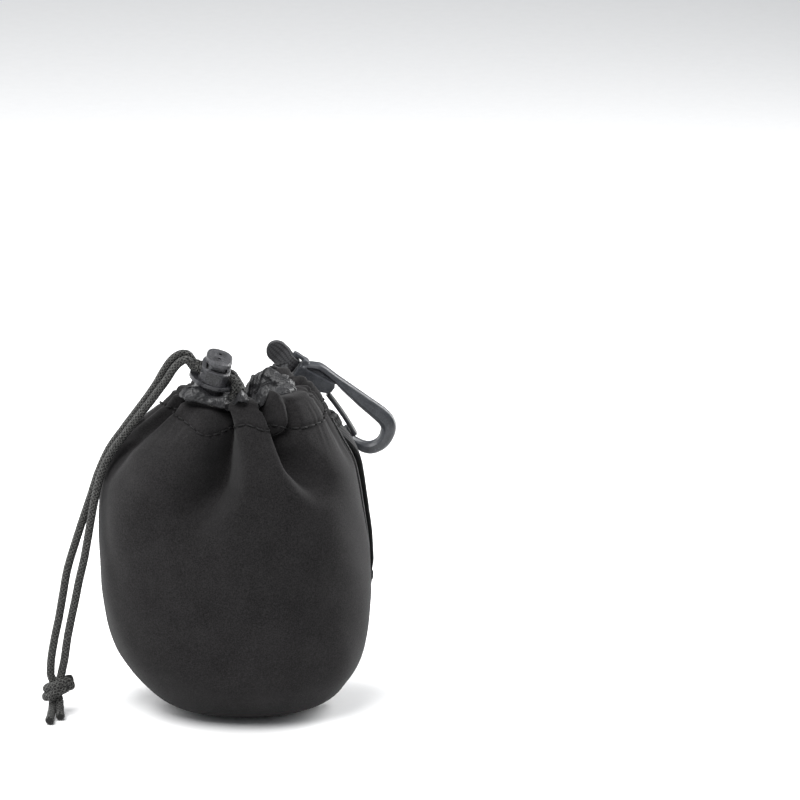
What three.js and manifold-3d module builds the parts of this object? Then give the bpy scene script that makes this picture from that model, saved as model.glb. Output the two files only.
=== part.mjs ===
// A small neoprene drawstring pouch for a camera lens, standing with its mouth drawn shut.
// Millimetres, +Z up, front towards -Y. The origin is the middle of the footprint, on the table.

import * as THREE from "three";
import { mergeVertices } from "three/addons/utils/BufferGeometryUtils.js";
import Module from "manifold-3d";

const wasm = await Module();
wasm.setup();

// Clearances and the overrun of every cut.
const touchGap = 0.3;
const runningGap = 0.35;
const cutOverrun = 0.5;

// The pouch body, closed and filled out.
const pouchHeight = 92;
const pouchHalfWidth = 37.6;
const pouchHalfDepth = 32;
const neopreneWall = 4;
const seamGap = 0.3;
const seamGrooveDepth = 1.2;
const mouthHoleRadius = 7;
const mouthHoleLength = 3;
const mouthLedgeDrop = 6.6;
const rimDip = 3.4;
const rimRounding = 0.9;
const mouthNeckRows = 4;
const neckFlareShare = 2.2;
const rimDipStartShare = 0.86;
const rimDipFullShare = 0.3;
const seamGrooveStartShare = 0.1;
const seamGrooveSpreadShare = 0.0067;
const planPower = 2.2;
const frontPanelColumns = 54;
const backPanelColumns = 36;
const columnBunchingShare = 0.42;

// The side profile from the base to the rim: height, reach from the middle, and sideways lean,
// as shares of the height and of the half width.
const levelShares = [
  [0, 0.346, 0],
  [0.013, 0.519, 0.005],
  [0.039, 0.654, 0.01],
  [0.082, 0.761, 0],
  [0.13, 0.851, -0.012],
  [0.196, 0.928, -0.035],
  [0.283, 0.976, -0.05],
  [0.391, 1, -0.062],
  [0.5, 1, -0.075],
  [0.587, 0.989, -0.09],
  [0.652, 0.973, -0.097],
  [0.717, 0.949, -0.098],
  [0.772, 0.915, -0.092],
  [0.821, 0.859, -0.09],
  [0.859, 0.795, -0.07],
  [0.897, 0.718, -0.04],
  [0.935, 0.644, -0.01],
  [0.967, 0.59, 0.005],
  [1, 0.569, 0.005],
];

// Each gather: its path down the wall as shares of the height and of a turn round from +X, its
// depth as a share of the reach, how far it spreads to either side, and where it starts.
const gatherShares = [
  {
    path: [
      [0.6, 0.6944],
      [0.68, 0.7181],
      [0.74, 0.7433],
      [0.8, 0.7528],
      [0.88, 0.7472],
      [1, 0.7181],
    ],
    depth: 0.36,
    spreadBefore: 0.0472,
    spreadAfter: 0.0181,
    start: 0.62,
  },
  {
    path: [
      [0.66, 0.8833],
      [0.74, 0.8611],
      [0.78, 0.8444],
      [0.82, 0.8333],
      [0.88, 0.8139],
      [0.94, 0.7931],
      [1, 0.7819],
    ],
    depth: 0.36,
    spreadBefore: 0.0194,
    spreadAfter: 0.0278,
    start: 0.66,
  },
  {
    path: [[0.88, 0.8222], [0.95, 0.8333], [1, 0.8428]],
    depth: 0.16,
    spreadBefore: 0.0111,
    spreadAfter: 0.0111,
    start: 0.88,
  },
  {
    path: [[0.7, 0.9389], [1, 0.9528]],
    depth: 0.2,
    spreadBefore: 0.0194,
    spreadAfter: 0.0194,
    start: 0.74,
  },
  {
    path: [[0.7, 0.5417], [1, 0.5472]],
    depth: 0.24,
    spreadBefore: 0.0222,
    spreadAfter: 0.0222,
    start: 0.74,
  },
  {
    path: [[0.7, 0.425], [1, 0.4361]],
    depth: 0.32,
    spreadBefore: 0.025,
    spreadAfter: 0.0194,
    start: 0.68,
  },
  {
    path: [[0.7, 0.3278], [1, 0.3389]],
    depth: 0.34,
    spreadBefore: 0.0222,
    spreadAfter: 0.025,
    start: 0.64,
  },
  {
    path: [[0.7, 0.2222], [1, 0.2333]],
    depth: 0.33,
    spreadBefore: 0.025,
    spreadAfter: 0.0222,
    start: 0.67,
  },
  {
    path: [[0.7, 0.1389], [1, 0.1278]],
    depth: 0.24,
    spreadBefore: 0.0194,
    spreadAfter: 0.0222,
    start: 0.74,
  },
  {
    path: [[0.7, 0.0222], [1, 0.0333]],
    depth: 0.2,
    spreadBefore: 0.0167,
    spreadAfter: 0.0194,
    start: 0.76,
  },
];
const gatherEaseShare = 0.6;

// Seam thread and the stitch line of the channel.
const threadRadius = 0.4;
const seamStandoff = 1;
const seamStartShare = 0.039;
const seamEndShare = 0.897;
const stitchDrop = 6.4;
const stitchRadius = 0.3;
const stitchStandoff = 1.3;
const stitchEvening = 2.5;
const seamSteps = 22;
const threadSides = 6;

// The nylon channel: a folded strip, open below, with the cord inside. It dips under the lock.
const sleeveHalfWidth = 2.25;
const sleeveHeight = 4;
const sleeveWall = 0.5;
const sleeveDrop = 1.8;
const sleeveReach = 10.8;
const sleeveDip = 4.2;
const sleeveRipple = 0.5;
const sleeveRipples = 7;
const sleeveSteps = 60;
const sleeveBevelShare = 0.55;
const sleeveExitRadius = 4.8;
const sleeveExitDepth = 1.9;
const sleeveExitShare = 0.7722;
// Share of a turn round the mouth from +X, the channel's reach there, and its part of the dip.
const sleeveShares = [
  [0, 1, 0],
  [0.125, 0.92, 0],
  [0.25, 0.85, 0],
  [0.4111, 0.82, 0],
  [0.5167, 0.86, 1],
  [0.6, 0.72, 1],
  [0.7278, 0.57, 0],
  [0.8111, 0.82, 0],
  [0.9028, 1, 0],
  [1, 1, 0],
];

// The braided drawcord.
const cordRadius = 1.15;
const cordSides = 8;
const cordPitch = 2.6;
const channelCordSteps = 104;
const strandSteps = 26;
const leftTailSteps = 6;
const rightTailSteps = 4;

// The cord's bends between the channel and the lock.
const cordBend = 3;
const leadReachShare = 0.3;
const leadRiseShare = 0.35;
const leadTopShare = 1.5;
const entryReachShare = 2.4;
const entryNearShare = 0.8;
const entryDropShare = 0.5;

// The free cord: the height where it meets the knot, the knot, and the length of the tails.
const cordEndHeight = 11.6;
const knotHeight = 7.6;
const knotHalfWidth = 4.2;
const knotHalfDepth = 3;
const knotHalfHeight = 3.4;
const tailReach = 10.7;

// The cord lock: barrel, plunger and spring, on an axis that leans right and forward.
const lockLeft = 9.9;
const lockForward = 5.4;
const lockAboveRim = 0.7;
const lockAxisShares = [0.29, -0.2, 0.93];
const lockCordwaysShares = [-0.955, 0, 0.295];
const lockWidth = 8.4;
const lockDepth = 10;
const lockWall = 1.2;
const lockFloor = 0.8;
const lockCordHeight = 6.6;
const lockRimAbove = 0.3;
const lockCorner = 2.6;
const lockBevel = 0.5;
const flangeThickness = 1.1;
const flangeReach = 2.4;
const flangeLip = 0.4;
const flangeHeight = 3.4;
const plungerTravel = 1.2;
const plungerBridge = 0.8;
const plungerHeadThickness = 1.6;
const plungerHeadMargin = 0.5;
const dimpleRadius = 0.5;
const dimpleDepth = 0.5;
const lockTravel = 1.5;
const springWire = 0.4;
const springRadius = 1.6;
const springCurls = 2.5;
const springSides = 5;
const springCurlSteps = 8;

// The belt strap on the back right.
const strapWidth = 20;
const strapThickness = 1.4;
const strapAngle = 34;
const strapLowShare = 0.35;
const strapHighShare = 0.872;
const strapStandoff = 0.8;
const tackHeight = 2.4;
const tackThickness = 0.5;
const tackInset = 2.2;
const strapColumns = 8;

// The webbing loop for the hook.
const loopWebbingWidth = 6;
const loopWebbingThickness = 1.1;
const loopLean = 1.258;
const loopBehind = 5.839;
const loopRise = 3.944;
const loopSlope = 44;
const loopReach = 4.9;
const loopTailAngle = 64;
const loopTailLowShare = 0.945;
const loopTailStandoff = 0.7;
const loopTailColumns = 3;
const neckWidthShare = 0.85;
const neckHeightShare = 0.9;
const neckFrontShare = 0.6;
const neckBackShare = 0.3;
const neckPlaceShare = 0.35;
const loopTackWidthShare = 0.6;
const loopTackPlaceShare = 0.1;

// The snap hook, one moulding with a flexing gate.
const hookSlope = 36;
const hookLength = 38.6;
const hookReach = 15.1;
const hookThickness = 4.2;
const barRadius = 0.9;
const eyeArm = 1.2;
const eyeThickness = 2.2;
const eyeInnerBar = 1.5;
const blockThickness = 4.8;
const gateThickness = 0.85;
const gateDepth = 3.4;
const gateSteps = 6;
const gateSagShare = 0.35;
const spineSides = 10;
const spineRoundingPower = 0.7;

const degree = Math.PI / 180;
const fullTurn = 2 * Math.PI;

// Small tools: unit vectors, smooth steps, and meshes made of points and triangles.

const up = new THREE.Vector3(0, 0, 1);

function vector(x, y, z) {
  return new THREE.Vector3(x, y, z);
}

function smooth(low, high, value) {
  return THREE.MathUtils.smoothstep(value, low, high);
}

// Value of a table of [position, value, ...] rows at a position, by straight lines between rows.
function between(table, position, column = 1) {
  if (position <= table[0][0]) return table[0][column];
  for (let i = 1; i < table.length; i++) {
    if (position <= table[i][0]) {
      const share = (position - table[i - 1][0]) / (table[i][0] - table[i - 1][0]);
      return THREE.MathUtils.lerp(table[i - 1][column], table[i][column], share);
    }
  }
  return table[table.length - 1][column];
}

function geometryOf(points, faces) {
  const geometry = new THREE.BufferGeometry();
  const positions = points.flatMap((p) => [p.x, p.y, p.z]);
  geometry.setAttribute("position", new THREE.Float32BufferAttribute(positions, 3));
  geometry.setIndex(faces.flat());
  return geometry;
}

function turnedOut(geometry) {
  const place = geometry.getAttribute("position");
  const index = geometry.getIndex().array;
  const corner = [vector(), vector(), vector()];
  let volume = 0;
  for (let i = 0; i < index.length; i += 3) {
    corner.forEach((v, k) => v.fromBufferAttribute(place, index[i + k]));
    volume += corner[0].dot(corner[1].cross(corner[2]));
  }
  if (volume > 0) return geometry;
  const faces = [];
  for (let i = 0; i < index.length; i += 3) faces.push(index[i], index[i + 2], index[i + 1]);
  geometry.setIndex(faces);
  return geometry;
}

// A solid through rings of equal count, with a flat cap at each end, or joined end to end.
function loft(rings, joined = false) {
  const count = rings[0].length;
  const points = rings.flat();
  const faces = [];
  const spans = joined ? rings.length : rings.length - 1;
  for (let i = 0; i < spans; i++) {
    const here = i * count;
    const next = ((i + 1) % rings.length) * count;
    for (let k = 0; k < count; k++) {
      const other = (k + 1) % count;
      faces.push([here + k, here + other, next + other], [here + k, next + other, next + k]);
    }
  }
  if (!joined) {
    [0, rings.length - 1].forEach((ring) => {
      const middle = points.length;
      const sum = rings[ring].reduce((total, p) => total.add(p), vector(0, 0, 0));
      points.push(sum.divideScalar(count));
      for (let k = 0; k < count; k++) {
        const a = ring * count + k;
        const b = ring * count + ((k + 1) % count);
        faces.push(ring === 0 ? [middle, b, a] : [middle, a, b]);
      }
    });
  }
  return turnedOut(geometryOf(points, faces));
}

function toSolid(geometry) {
  const bare = geometry.clone();
  bare.deleteAttribute("normal");
  bare.deleteAttribute("uv");
  const merged = mergeVertices(bare);
  const vertProperties = merged.getAttribute("position").array;
  const triVerts = new Uint32Array(merged.getIndex().array);
  return new wasm.Manifold(new wasm.Mesh({ numProp: 3, vertProperties, triVerts }));
}

function toGeometry(solid) {
  const mesh = solid.getMesh();
  const geometry = new THREE.BufferGeometry();
  geometry.setAttribute("position", new THREE.BufferAttribute(mesh.vertProperties, 3));
  geometry.setIndex(new THREE.BufferAttribute(mesh.triVerts, 1));
  return geometry;
}

// A frame to draw in: three axes and an origin.
function frameOf(origin, across, along, out) {
  return new THREE.Matrix4().makeBasis(across, along, out).setPosition(origin);
}

// A tube of a round section along a curve.
function tubeAlong(curve, radius, sides, steps) {
  const section = new THREE.Shape();
  for (let i = 0; i < sides; i++) {
    const turn = (fullTurn * i) / sides;
    if (i === 0) section.moveTo(radius * Math.cos(turn), radius * Math.sin(turn));
    else section.lineTo(radius * Math.cos(turn), radius * Math.sin(turn));
  }
  section.closePath();
  return new THREE.ExtrudeGeometry(section, { steps, bevelEnabled: false, extrudePath: curve });
}

// The pouch body: one wall surface, given by the angle round from +X and the share of the height.

function gatherAt(angle, heightShare) {
  let left = 1;
  gatherShares.forEach((gather) => {
    const middle = between(gather.path, heightShare) * fullTurn;
    const away = Math.atan2(Math.sin(angle - middle), Math.cos(angle - middle)) / fullTurn;
    const spread = away < 0 ? gather.spreadBefore : gather.spreadAfter;
    const rise = smooth(gather.start, 1, heightShare) ** gatherEaseShare;
    left *= 1 - gather.depth * rise * Math.exp(-((away / spread) ** 2));
  });
  return 1 - left;
}

function middleAt(heightShare) {
  return between(levelShares, heightShare, 2) * pouchHalfWidth;
}

function wallPoint(angle, heightShare) {
  const reachShare = between(levelShares, heightShare);
  const c = Math.cos(angle);
  const s = Math.sin(angle);
  const across = Math.sign(c) * Math.abs(c) ** (2 / planPower);
  const along = Math.sign(s) * Math.abs(s) ** (2 / planPower);
  const gather = gatherAt(angle, heightShare);
  const plan = vector(across * pouchHalfWidth, along * pouchHalfDepth, 0);
  plan.multiplyScalar(reachShare * (1 - gather));
  const offSeam = Math.atan2(s, Math.abs(c)) / fullTurn / seamGrooveSpreadShare;
  const grooveStart = smooth(0, seamGrooveStartShare, heightShare);
  plan.setLength(plan.length() - seamGrooveDepth * Math.exp(-(offSeam ** 2)) * grooveStart);
  const dipShare = Math.min(1, gather / rimDipFullShare) * smooth(rimDipStartShare, 1, heightShare);
  const dip = rimDip * dipShare;
  return vector(plan.x + middleAt(heightShare), plan.y, heightShare * pouchHeight - dip);
}

function wallNormal(angle, heightShare) {
  const turn = degree / 2;
  const rise = touchGap / pouchHeight;
  const low = Math.max(0, heightShare - rise);
  const high = Math.min(1, heightShare + rise);
  const around = wallPoint(angle + turn, heightShare).sub(wallPoint(angle - turn, heightShare));
  const upward = wallPoint(angle, high).sub(wallPoint(angle, low));
  return around.cross(upward).normalize();
}

function offWall(angle, heightShare, distance) {
  return wallPoint(angle, heightShare).addScaledVector(wallNormal(angle, heightShare), distance);
}

// Inward offset of the profile at a level, as a plan distance and a height.
function insideLevel(index) {
  const flat = ([heightShare, reachShare]) =>
    new THREE.Vector2(reachShare * pouchHalfWidth, heightShare * pouchHeight);
  const before = flat(levelShares[Math.max(0, index - 1)]);
  const after = flat(levelShares[Math.min(levelShares.length - 1, index + 1)]);
  const slope = after.sub(before).normalize();
  return { inward: neopreneWall * slope.y, rise: neopreneWall * slope.x };
}

function panelRows() {
  const last = levelShares.length - 1;
  const rows = [];
  const fromMiddle = (angle, heightShare, change, z) => {
    const point = wallPoint(angle, heightShare);
    const plan = vector(point.x - middleAt(heightShare), point.y, 0);
    plan.setLength(change(plan.length()));
    return vector(plan.x + middleAt(heightShare), plan.y, z ?? point.z);
  };
  const ledgeShare = 1 - mouthLedgeDrop / pouchHeight;
  const holeTop = pouchHeight - mouthLedgeDrop;
  levelShares.slice(0, last).forEach(([heightShare]) => {
    rows.push((angle) => wallPoint(angle, heightShare));
  });
  rows.push((angle) => {
    const point = wallPoint(angle, 1);
    return vector(point.x, point.y, point.z - rimRounding);
  });
  rows.push((angle) => fromMiddle(angle, 1, (r) => r - rimRounding));
  const innerEdge = (r) => Math.max(r - neopreneWall, mouthHoleRadius + rimRounding);
  rows.push((angle) => fromMiddle(angle, 1, innerEdge));
  rows.push((angle) => fromMiddle(angle, 1, (r) => innerEdge(r) - rimRounding / 2, holeTop));
  rows.push((angle) => fromMiddle(angle, ledgeShare, () => mouthHoleRadius, holeTop - touchGap));
  rows.push((angle) => fromMiddle(angle, ledgeShare, () => mouthHoleRadius, holeTop - mouthHoleLength));
  const neckTop = holeTop - mouthHoleLength - touchGap;
  for (let i = last - mouthNeckRows; i >= 0; i--) {
    const [heightShare] = levelShares[i];
    const { inward, rise } = insideLevel(i);
    const z = heightShare * pouchHeight + rise;
    const opening = mouthHoleRadius + (neckTop - z) * neckFlareShare;
    const limit = z > neckTop ? mouthHoleRadius : opening;
    rows.push((angle) => fromMiddle(angle, heightShare, (r) => Math.min(r - inward, limit), z));
  }
  return rows;
}

// The angles of a panel's columns, closer together at its two seams.
function columnsFrom(startAngle, columns) {
  return Array.from({ length: columns + 1 }, (_, i) => {
    const share = i / columns;
    const eased = share - (columnBunchingShare * Math.sin(fullTurn * share)) / fullTurn;
    return startAngle + Math.PI * eased;
  });
}

function panelGeometry(startAngle, columns, shift) {
  const rows = panelRows();
  const points = [];
  const faces = [];
  const columnAngles = columnsFrom(startAngle, columns);
  const basePole = points.push(vector(0, 0, 0)) - 1;
  rows.forEach((row) => {
    columnAngles.forEach((angle, j) => {
      const point = row(angle);
      if (j === 0 || j === columns) point.y = 0;
      points.push(point);
    });
  });
  const floorPole = points.push(vector(0, 0, neopreneWall)) - 1;
  const at = (i, j) => 1 + i * (columns + 1) + j;
  for (let j = 0; j < columns; j++) {
    faces.push([basePole, at(0, j + 1), at(0, j)]);
    for (let i = 0; i < rows.length - 1; i++) {
      const [a, b, c, d] = [at(i, j), at(i, j + 1), at(i + 1, j + 1), at(i + 1, j)];
      const rightward = points[a].distanceTo(points[c]) < points[b].distanceTo(points[d]);
      faces.push(...(rightward ? [[a, b, c], [a, c, d]] : [[a, b, d], [b, c, d]]));
    }
    faces.push([at(rows.length - 1, j), at(rows.length - 1, j + 1), floorPole]);
  }
  const firstEdge = rows.map((_, i) => at(i, 0));
  const lastEdge = rows.map((_, i) => at(i, columns)).reverse();
  const outline = [basePole, ...firstEdge, floorPole, ...lastEdge];
  const flat = outline.map((i) => new THREE.Vector2(points[i].x, points[i].z));
  const cut = THREE.ShapeUtils.triangulateShape(flat, []);
  const turn = ([a, b, c]) => flat[b].clone().sub(flat[a]).cross(flat[c].clone().sub(flat[a]));
  const sameWay = Math.sign(turn(cut[0])) === Math.sign(THREE.ShapeUtils.area(flat));
  cut.forEach(([a, b, c]) => {
    faces.push(sameWay ? [outline[a], outline[b], outline[c]] : [outline[a], outline[c], outline[b]]);
  });
  points.forEach((p) => (p.y += shift));
  return turnedOut(geometryOf(points, faces));
}

// Threads: the two side seams and the stitch line of the channel.

function tubeMesh(curve, radius, sides, steps) {
  const geometry = tubeAlong(curve, radius, sides, steps);
  geometry.deleteAttribute("normal");
  geometry.deleteAttribute("uv");
  return turnedOut(mergeVertices(geometry));
}

function seamThread(angle) {
  const points = Array.from({ length: seamSteps + 1 }, (_, i) => {
    const share = THREE.MathUtils.lerp(seamStartShare, seamEndShare, i / seamSteps);
    return offWall(angle, share, seamStandoff);
  });
  return tubeMesh(new THREE.CatmullRomCurve3(points), threadRadius, threadSides, seamSteps);
}

function channelStitch() {
  const angles = [
    ...columnsFrom(Math.PI, frontPanelColumns).slice(1),
    ...columnsFrom(0, backPanelColumns).slice(1),
  ];
  const nearby = [-1, 0, 1].map((side) => side * stitchEvening * degree);
  const ringAt = (angle) => {
    const heightShare = (wallPoint(angle, 1).z - stitchDrop) / pouchHeight;
    const near = nearby.map((turn) => offWall(angle + turn, heightShare, stitchStandoff));
    const middle = near.reduce((sum, p) => sum.add(p), vector(0, 0, 0)).divideScalar(near.length);
    const out = wallNormal(angle, heightShare).setZ(0).normalize();
    return Array.from({ length: threadSides }, (_, k) => {
      const turn = (fullTurn * k) / threadSides;
      const reach = out.clone().multiplyScalar(stitchRadius * Math.cos(turn));
      return middle.clone().add(reach).addScaledVector(up, stitchRadius * Math.sin(turn));
    });
  };
  return loft(angles.map(ringAt), true);
}

// The channel round the mouth and the cord in it follow one path, kept inside the rim's lobes.

function channelShare(angle, column) {
  const turn = THREE.MathUtils.euclideanModulo(angle / fullTurn, 1);
  const next = sleeveShares.findIndex(([place]) => place > turn);
  const [before, after] = [sleeveShares[next - 1], sleeveShares[next]];
  const share = smooth(before[0], after[0], turn);
  return THREE.MathUtils.lerp(before[column], after[column], share);
}

function sleevePoint(angle, rise) {
  const reach = sleeveReach * channelShare(angle, 1);
  const dipShare = channelShare(angle, 2);
  const ripple = sleeveRipple * (1 - dipShare) * Math.sin(sleeveRipples * angle) ** 2;
  const bottom = pouchHeight - sleeveDrop - sleeveDip * dipShare + ripple;
  return vector(middleAt(1) + reach * Math.cos(angle), reach * Math.sin(angle), bottom + rise);
}

function sleeveOut(angle) {
  const way = sleevePoint(angle + 2 * degree, 0).sub(sleevePoint(angle - 2 * degree, 0));
  return way.setZ(0).normalize().cross(up);
}

function channelSleeve() {
  const w = sleeveHalfWidth;
  const inner = w - sleeveWall;
  const top = sleeveHeight - sleeveWall;
  const outerShoulder = sleeveHeight - w * sleeveBevelShare;
  const innerShoulder = top - inner * sleeveBevelShare;
  const flatShare = 1 - sleeveBevelShare;
  const outline = [
    [w, 0],
    [w, outerShoulder],
    [w * flatShare, sleeveHeight],
    [-w * flatShare, sleeveHeight],
    [-w, outerShoulder],
    [-w, 0],
    [-inner, 0],
    [-inner, innerShoulder],
    [-inner * flatShare, top],
    [inner * flatShare, top],
    [inner, innerShoulder],
    [inner, 0],
  ];
  const rings = Array.from({ length: sleeveSteps }, (_, i) => {
    const angle = (fullTurn * i) / sleeveSteps;
    const out = sleeveOut(angle);
    return outline.map(([across, rise]) => sleevePoint(angle, rise).addScaledVector(out, across));
  });
  const exit = new THREE.CylinderGeometry(sleeveExitRadius, sleeveExitRadius, sleeveHeight, 12);
  exit.rotateX(Math.PI / 2);
  const place = sleevePoint(sleeveExitShare * fullTurn, sleeveExitDepth + sleeveHeight / 2);
  exit.translate(place.x, place.y, place.z);
  return toGeometry(toSolid(loft(rings, true)).subtract(toSolid(exit)));
}

// The cord lock, drawn in its own frame: X along the cords, Y across them, Z along the plunger.

const lockAxis = vector(...lockAxisShares).normalize();
const lockAcross = lockAxis.clone().cross(vector(...lockCordwaysShares)).normalize();
const lockCordways = lockAcross.clone().cross(lockAxis);
const lockOrigin = vector(-lockLeft, -lockForward, pouchHeight + lockAboveRim);
const lockFrame = frameOf(lockOrigin, lockCordways, lockAcross, lockAxis);
const barrelHeight = lockCordHeight + cordRadius + runningGap + lockRimAbove;
const cordSlotDepth = cordPitch + 2 * (cordRadius + runningGap);
const cavityWidth = lockWidth - 2 * lockWall;
const cavityDepth = lockDepth - 2 * lockWall;
const stemBottom = lockCordHeight - cordRadius - touchGap - plungerBridge;
const headBottom = barrelHeight + plungerTravel + touchGap / 2;

function roundedRect(width, depth, corner) {
  const shape = new THREE.Shape();
  const x = width / 2;
  const y = depth / 2;
  const r = Math.min(corner, x, y);
  shape.moveTo(x - r, -y);
  shape.absarc(x - r, r - y, r, -Math.PI / 2, 0, false);
  shape.absarc(x - r, y - r, r, 0, Math.PI / 2, false);
  shape.absarc(r - x, y - r, r, Math.PI / 2, Math.PI, false);
  shape.absarc(r - x, r - y, r, Math.PI, 1.5 * Math.PI, false);
  return shape;
}

// A slab of a rounded outline between two heights, its edges rounded where a bevel is given.
function slab(width, depth, corner, low, high, bevel = 0) {
  const geometry = new THREE.ExtrudeGeometry(roundedRect(width - 2 * bevel, depth - 2 * bevel, corner), {
    depth: high - low - 2 * bevel,
    bevelEnabled: bevel > 0,
    bevelSize: bevel,
    bevelThickness: bevel,
    bevelSegments: 2,
    curveSegments: 4,
  });
  return geometry.translate(0, 0, low + bevel);
}

function block(size, middle) {
  return new THREE.BoxGeometry(size.x, size.y, size.z).translate(middle.x, middle.y, middle.z);
}

function placed(solid, frame) {
  return toGeometry(solid).applyMatrix4(frame);
}

function cordSlot(low, high) {
  const size = vector(lockWidth + 2 * cutOverrun, cordSlotDepth, high - low);
  return toSolid(block(size, vector(0, 0, (low + high) / 2)));
}

function lockBarrel() {
  const body = toSolid(slab(lockWidth, lockDepth, lockCorner, 0, barrelHeight, lockBevel));
  const flangeWidth = lockWidth + 2 * flangeReach;
  const flangeDepth = lockDepth + 2 * flangeLip;
  const flangeTop = flangeHeight + flangeThickness;
  const flange = toSolid(slab(flangeWidth, flangeDepth, flangeWidth / 2, flangeHeight, flangeTop));
  const cavityTop = barrelHeight + cutOverrun;
  const cavity = slab(cavityWidth, cavityDepth, lockCorner - lockWall, lockFloor, cavityTop);
  const clear = cordRadius + runningGap;
  const slot = cordSlot(lockCordHeight - clear, lockCordHeight + clear);
  return placed(body.add(flange).subtract(toSolid(cavity)).subtract(slot), lockFrame);
}

function lockPlunger() {
  const stemWidth = cavityWidth - 2 * runningGap;
  const stemDepth = cavityDepth - 2 * runningGap;
  const corner = lockCorner - lockWall;
  const headTop = headBottom + plungerHeadThickness;
  const headMiddle = headTop - plungerHeadThickness / 2;
  const stem = toSolid(slab(stemWidth, stemDepth, corner, stemBottom, headMiddle));
  const headWidth = lockWidth - 2 * plungerHeadMargin;
  const headDepth = lockDepth - 2 * plungerHeadMargin;
  const bevel = plungerHeadThickness / 3;
  const head = toSolid(slab(headWidth, headDepth, lockCorner, headBottom, headTop, bevel));
  const slotLow = lockCordHeight - cordRadius - touchGap;
  const slotHigh = lockCordHeight + cordRadius + plungerTravel + runningGap;
  let solid = stem.add(head).subtract(cordSlot(slotLow, slotHigh));
  [-1, 1].forEach((side) => {
    const dimple = new THREE.CylinderGeometry(dimpleRadius, dimpleRadius, 2 * dimpleDepth, 10);
    dimple.rotateX(Math.PI / 2).translate(0, (side * cordPitch) / 2, headTop);
    solid = solid.subtract(toSolid(dimple));
  });
  return placed(solid, lockFrame);
}

class HelixCurve extends THREE.Curve {
  constructor(radius, low, high, turns) {
    super();
    Object.assign(this, { radius, low, high, turns });
  }

  getPoint(t, target = vector(0, 0, 0)) {
    const turn = fullTurn * this.turns * t;
    const z = THREE.MathUtils.lerp(this.low, this.high, t);
    return target.set(this.radius * Math.cos(turn), this.radius * Math.sin(turn), z);
  }
}

function lockSpring() {
  const low = lockFloor + touchGap + springWire / 2;
  const high = stemBottom - touchGap - springWire / 2;
  const helix = new HelixCurve(springRadius, low, high, springCurls);
  const steps = springCurlSteps * springCurls;
  return tubeMesh(helix, springWire / 2, springSides, steps).applyMatrix4(lockFrame);
}

// The drawcord, from the lock down into the channel, round the mouth and back up to the lock.

function inLock(along, across, height) {
  return vector(along, across, height).applyMatrix4(lockFrame);
}

const cordRise = sleeveHeight - sleeveWall - cordRadius - 3 * touchGap;

function channelCord() {
  const exit = sleeveExitShare * fullTurn;
  const reach = sleeveReach * channelShare(exit, 1);
  const bendTurn = (cordPitch / 2 + cordBend) / reach;
  const stations = Array.from({ length: sleeveSteps }, (_, i) => (fullTurn * i) / sleeveSteps);
  const past = (angle) => (angle - exit + fullTurn) % fullTurn;
  const round = stations
    .map((angle) => past(angle))
    .filter((turn) => turn > bendTurn && turn < fullTurn - bendTurn)
    .sort((a, b) => a - b)
    .map((turn) => sleevePoint(exit + turn, cordRise));
  const lead = (side) => {
    const offset = (side * cordPitch) / 2;
    const turn = offset / reach;
    const away = (side * (cordPitch / 2 + cordBend * leadReachShare)) / reach;
    return [
      sleevePoint(exit + away, cordRise + cordBend * leadRiseShare),
      sleevePoint(exit + turn, cordRise + cordBend),
      sleevePoint(exit + turn, cordRise + cordBend * leadTopShare),
    ];
  };
  const entry = (side) => {
    const across = (-side * cordPitch) / 2;
    const face = -lockWidth / 2;
    const lowHeight = lockCordHeight - cordRadius * entryDropShare;
    return [
      inLock(face - cordRadius * entryReachShare, across, lowHeight),
      inLock(face - cordRadius * entryNearShare, across, lockCordHeight),
      inLock(0, across, lockCordHeight),
      inLock(lockWidth / 2 + touchGap, across, lockCordHeight),
    ];
  };
  const points = [
    ...entry(1).reverse(),
    ...lead(1).reverse(),
    ...round,
    ...lead(-1),
    ...entry(-1),
  ];
  return tubeMesh(new THREE.CatmullRomCurve3(points), cordRadius, cordSides, channelCordSteps);
}

// The two free strands lie over the left shoulder and hang to the knot. Each point is chosen by
// hand: leftward and forward from the lock as shares of the body's half width and half depth, and
// upward from the knot's end as a share of the way to the rim.

const leftStrandShares = [
  [-0.152, -0.012, 1.142],
  [-0.215, -0.016, 1.142],
  [-0.277, -0.019, 1.119],
  [-0.33, -0.019, 1.082],
  [-0.383, -0.019, 1.037],
  [-0.444, -0.012, 0.993],
  [-0.513, 0.006, 0.945],
  [-0.62, 0.025, 0.874],
  [-0.731, 0.044, 0.796],
  [-0.811, 0.031, 0.714],
  [-0.872, 0.003, 0.627],
  [-0.928, -0.034, 0.551],
  [-0.984, -0.081, 0.473],
  [-1.045, -0.097, 0.374],
  [-1.082, -0.112, 0.275],
  [-1.112, -0.112, 0.195],
  [-1.144, -0.112, 0.123],
  [-1.168, -0.119, 0.051],
  [-1.173, -0.125, 0],
];

const rightStrandShares = [
  [-0.154, -0.094, 1.132],
  [-0.207, -0.094, 1.123],
  [-0.258, -0.094, 1.097],
  [-0.311, -0.094, 1.057],
  [-0.37, -0.091, 1.019],
  [-0.428, -0.087, 0.98],
  [-0.497, -0.081, 0.938],
  [-0.617, -0.069, 0.861],
  [-0.718, -0.056, 0.791],
  [-0.793, -0.059, 0.716],
  [-0.838, -0.081, 0.633],
  [-0.87, -0.119, 0.556],
  [-0.896, -0.15, 0.483],
  [-0.923, -0.169, 0.415],
  [-0.957, -0.181, 0.346],
  [-0.987, -0.181, 0.275],
  [-1.019, -0.175, 0.203],
  [-1.043, -0.162, 0.128],
  [-1.056, -0.144, 0.055],
  [-1.059, -0.134, 0.006],
];

// The tails lie forward on the table: shares of their reach from the knot, and of its height.

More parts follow.
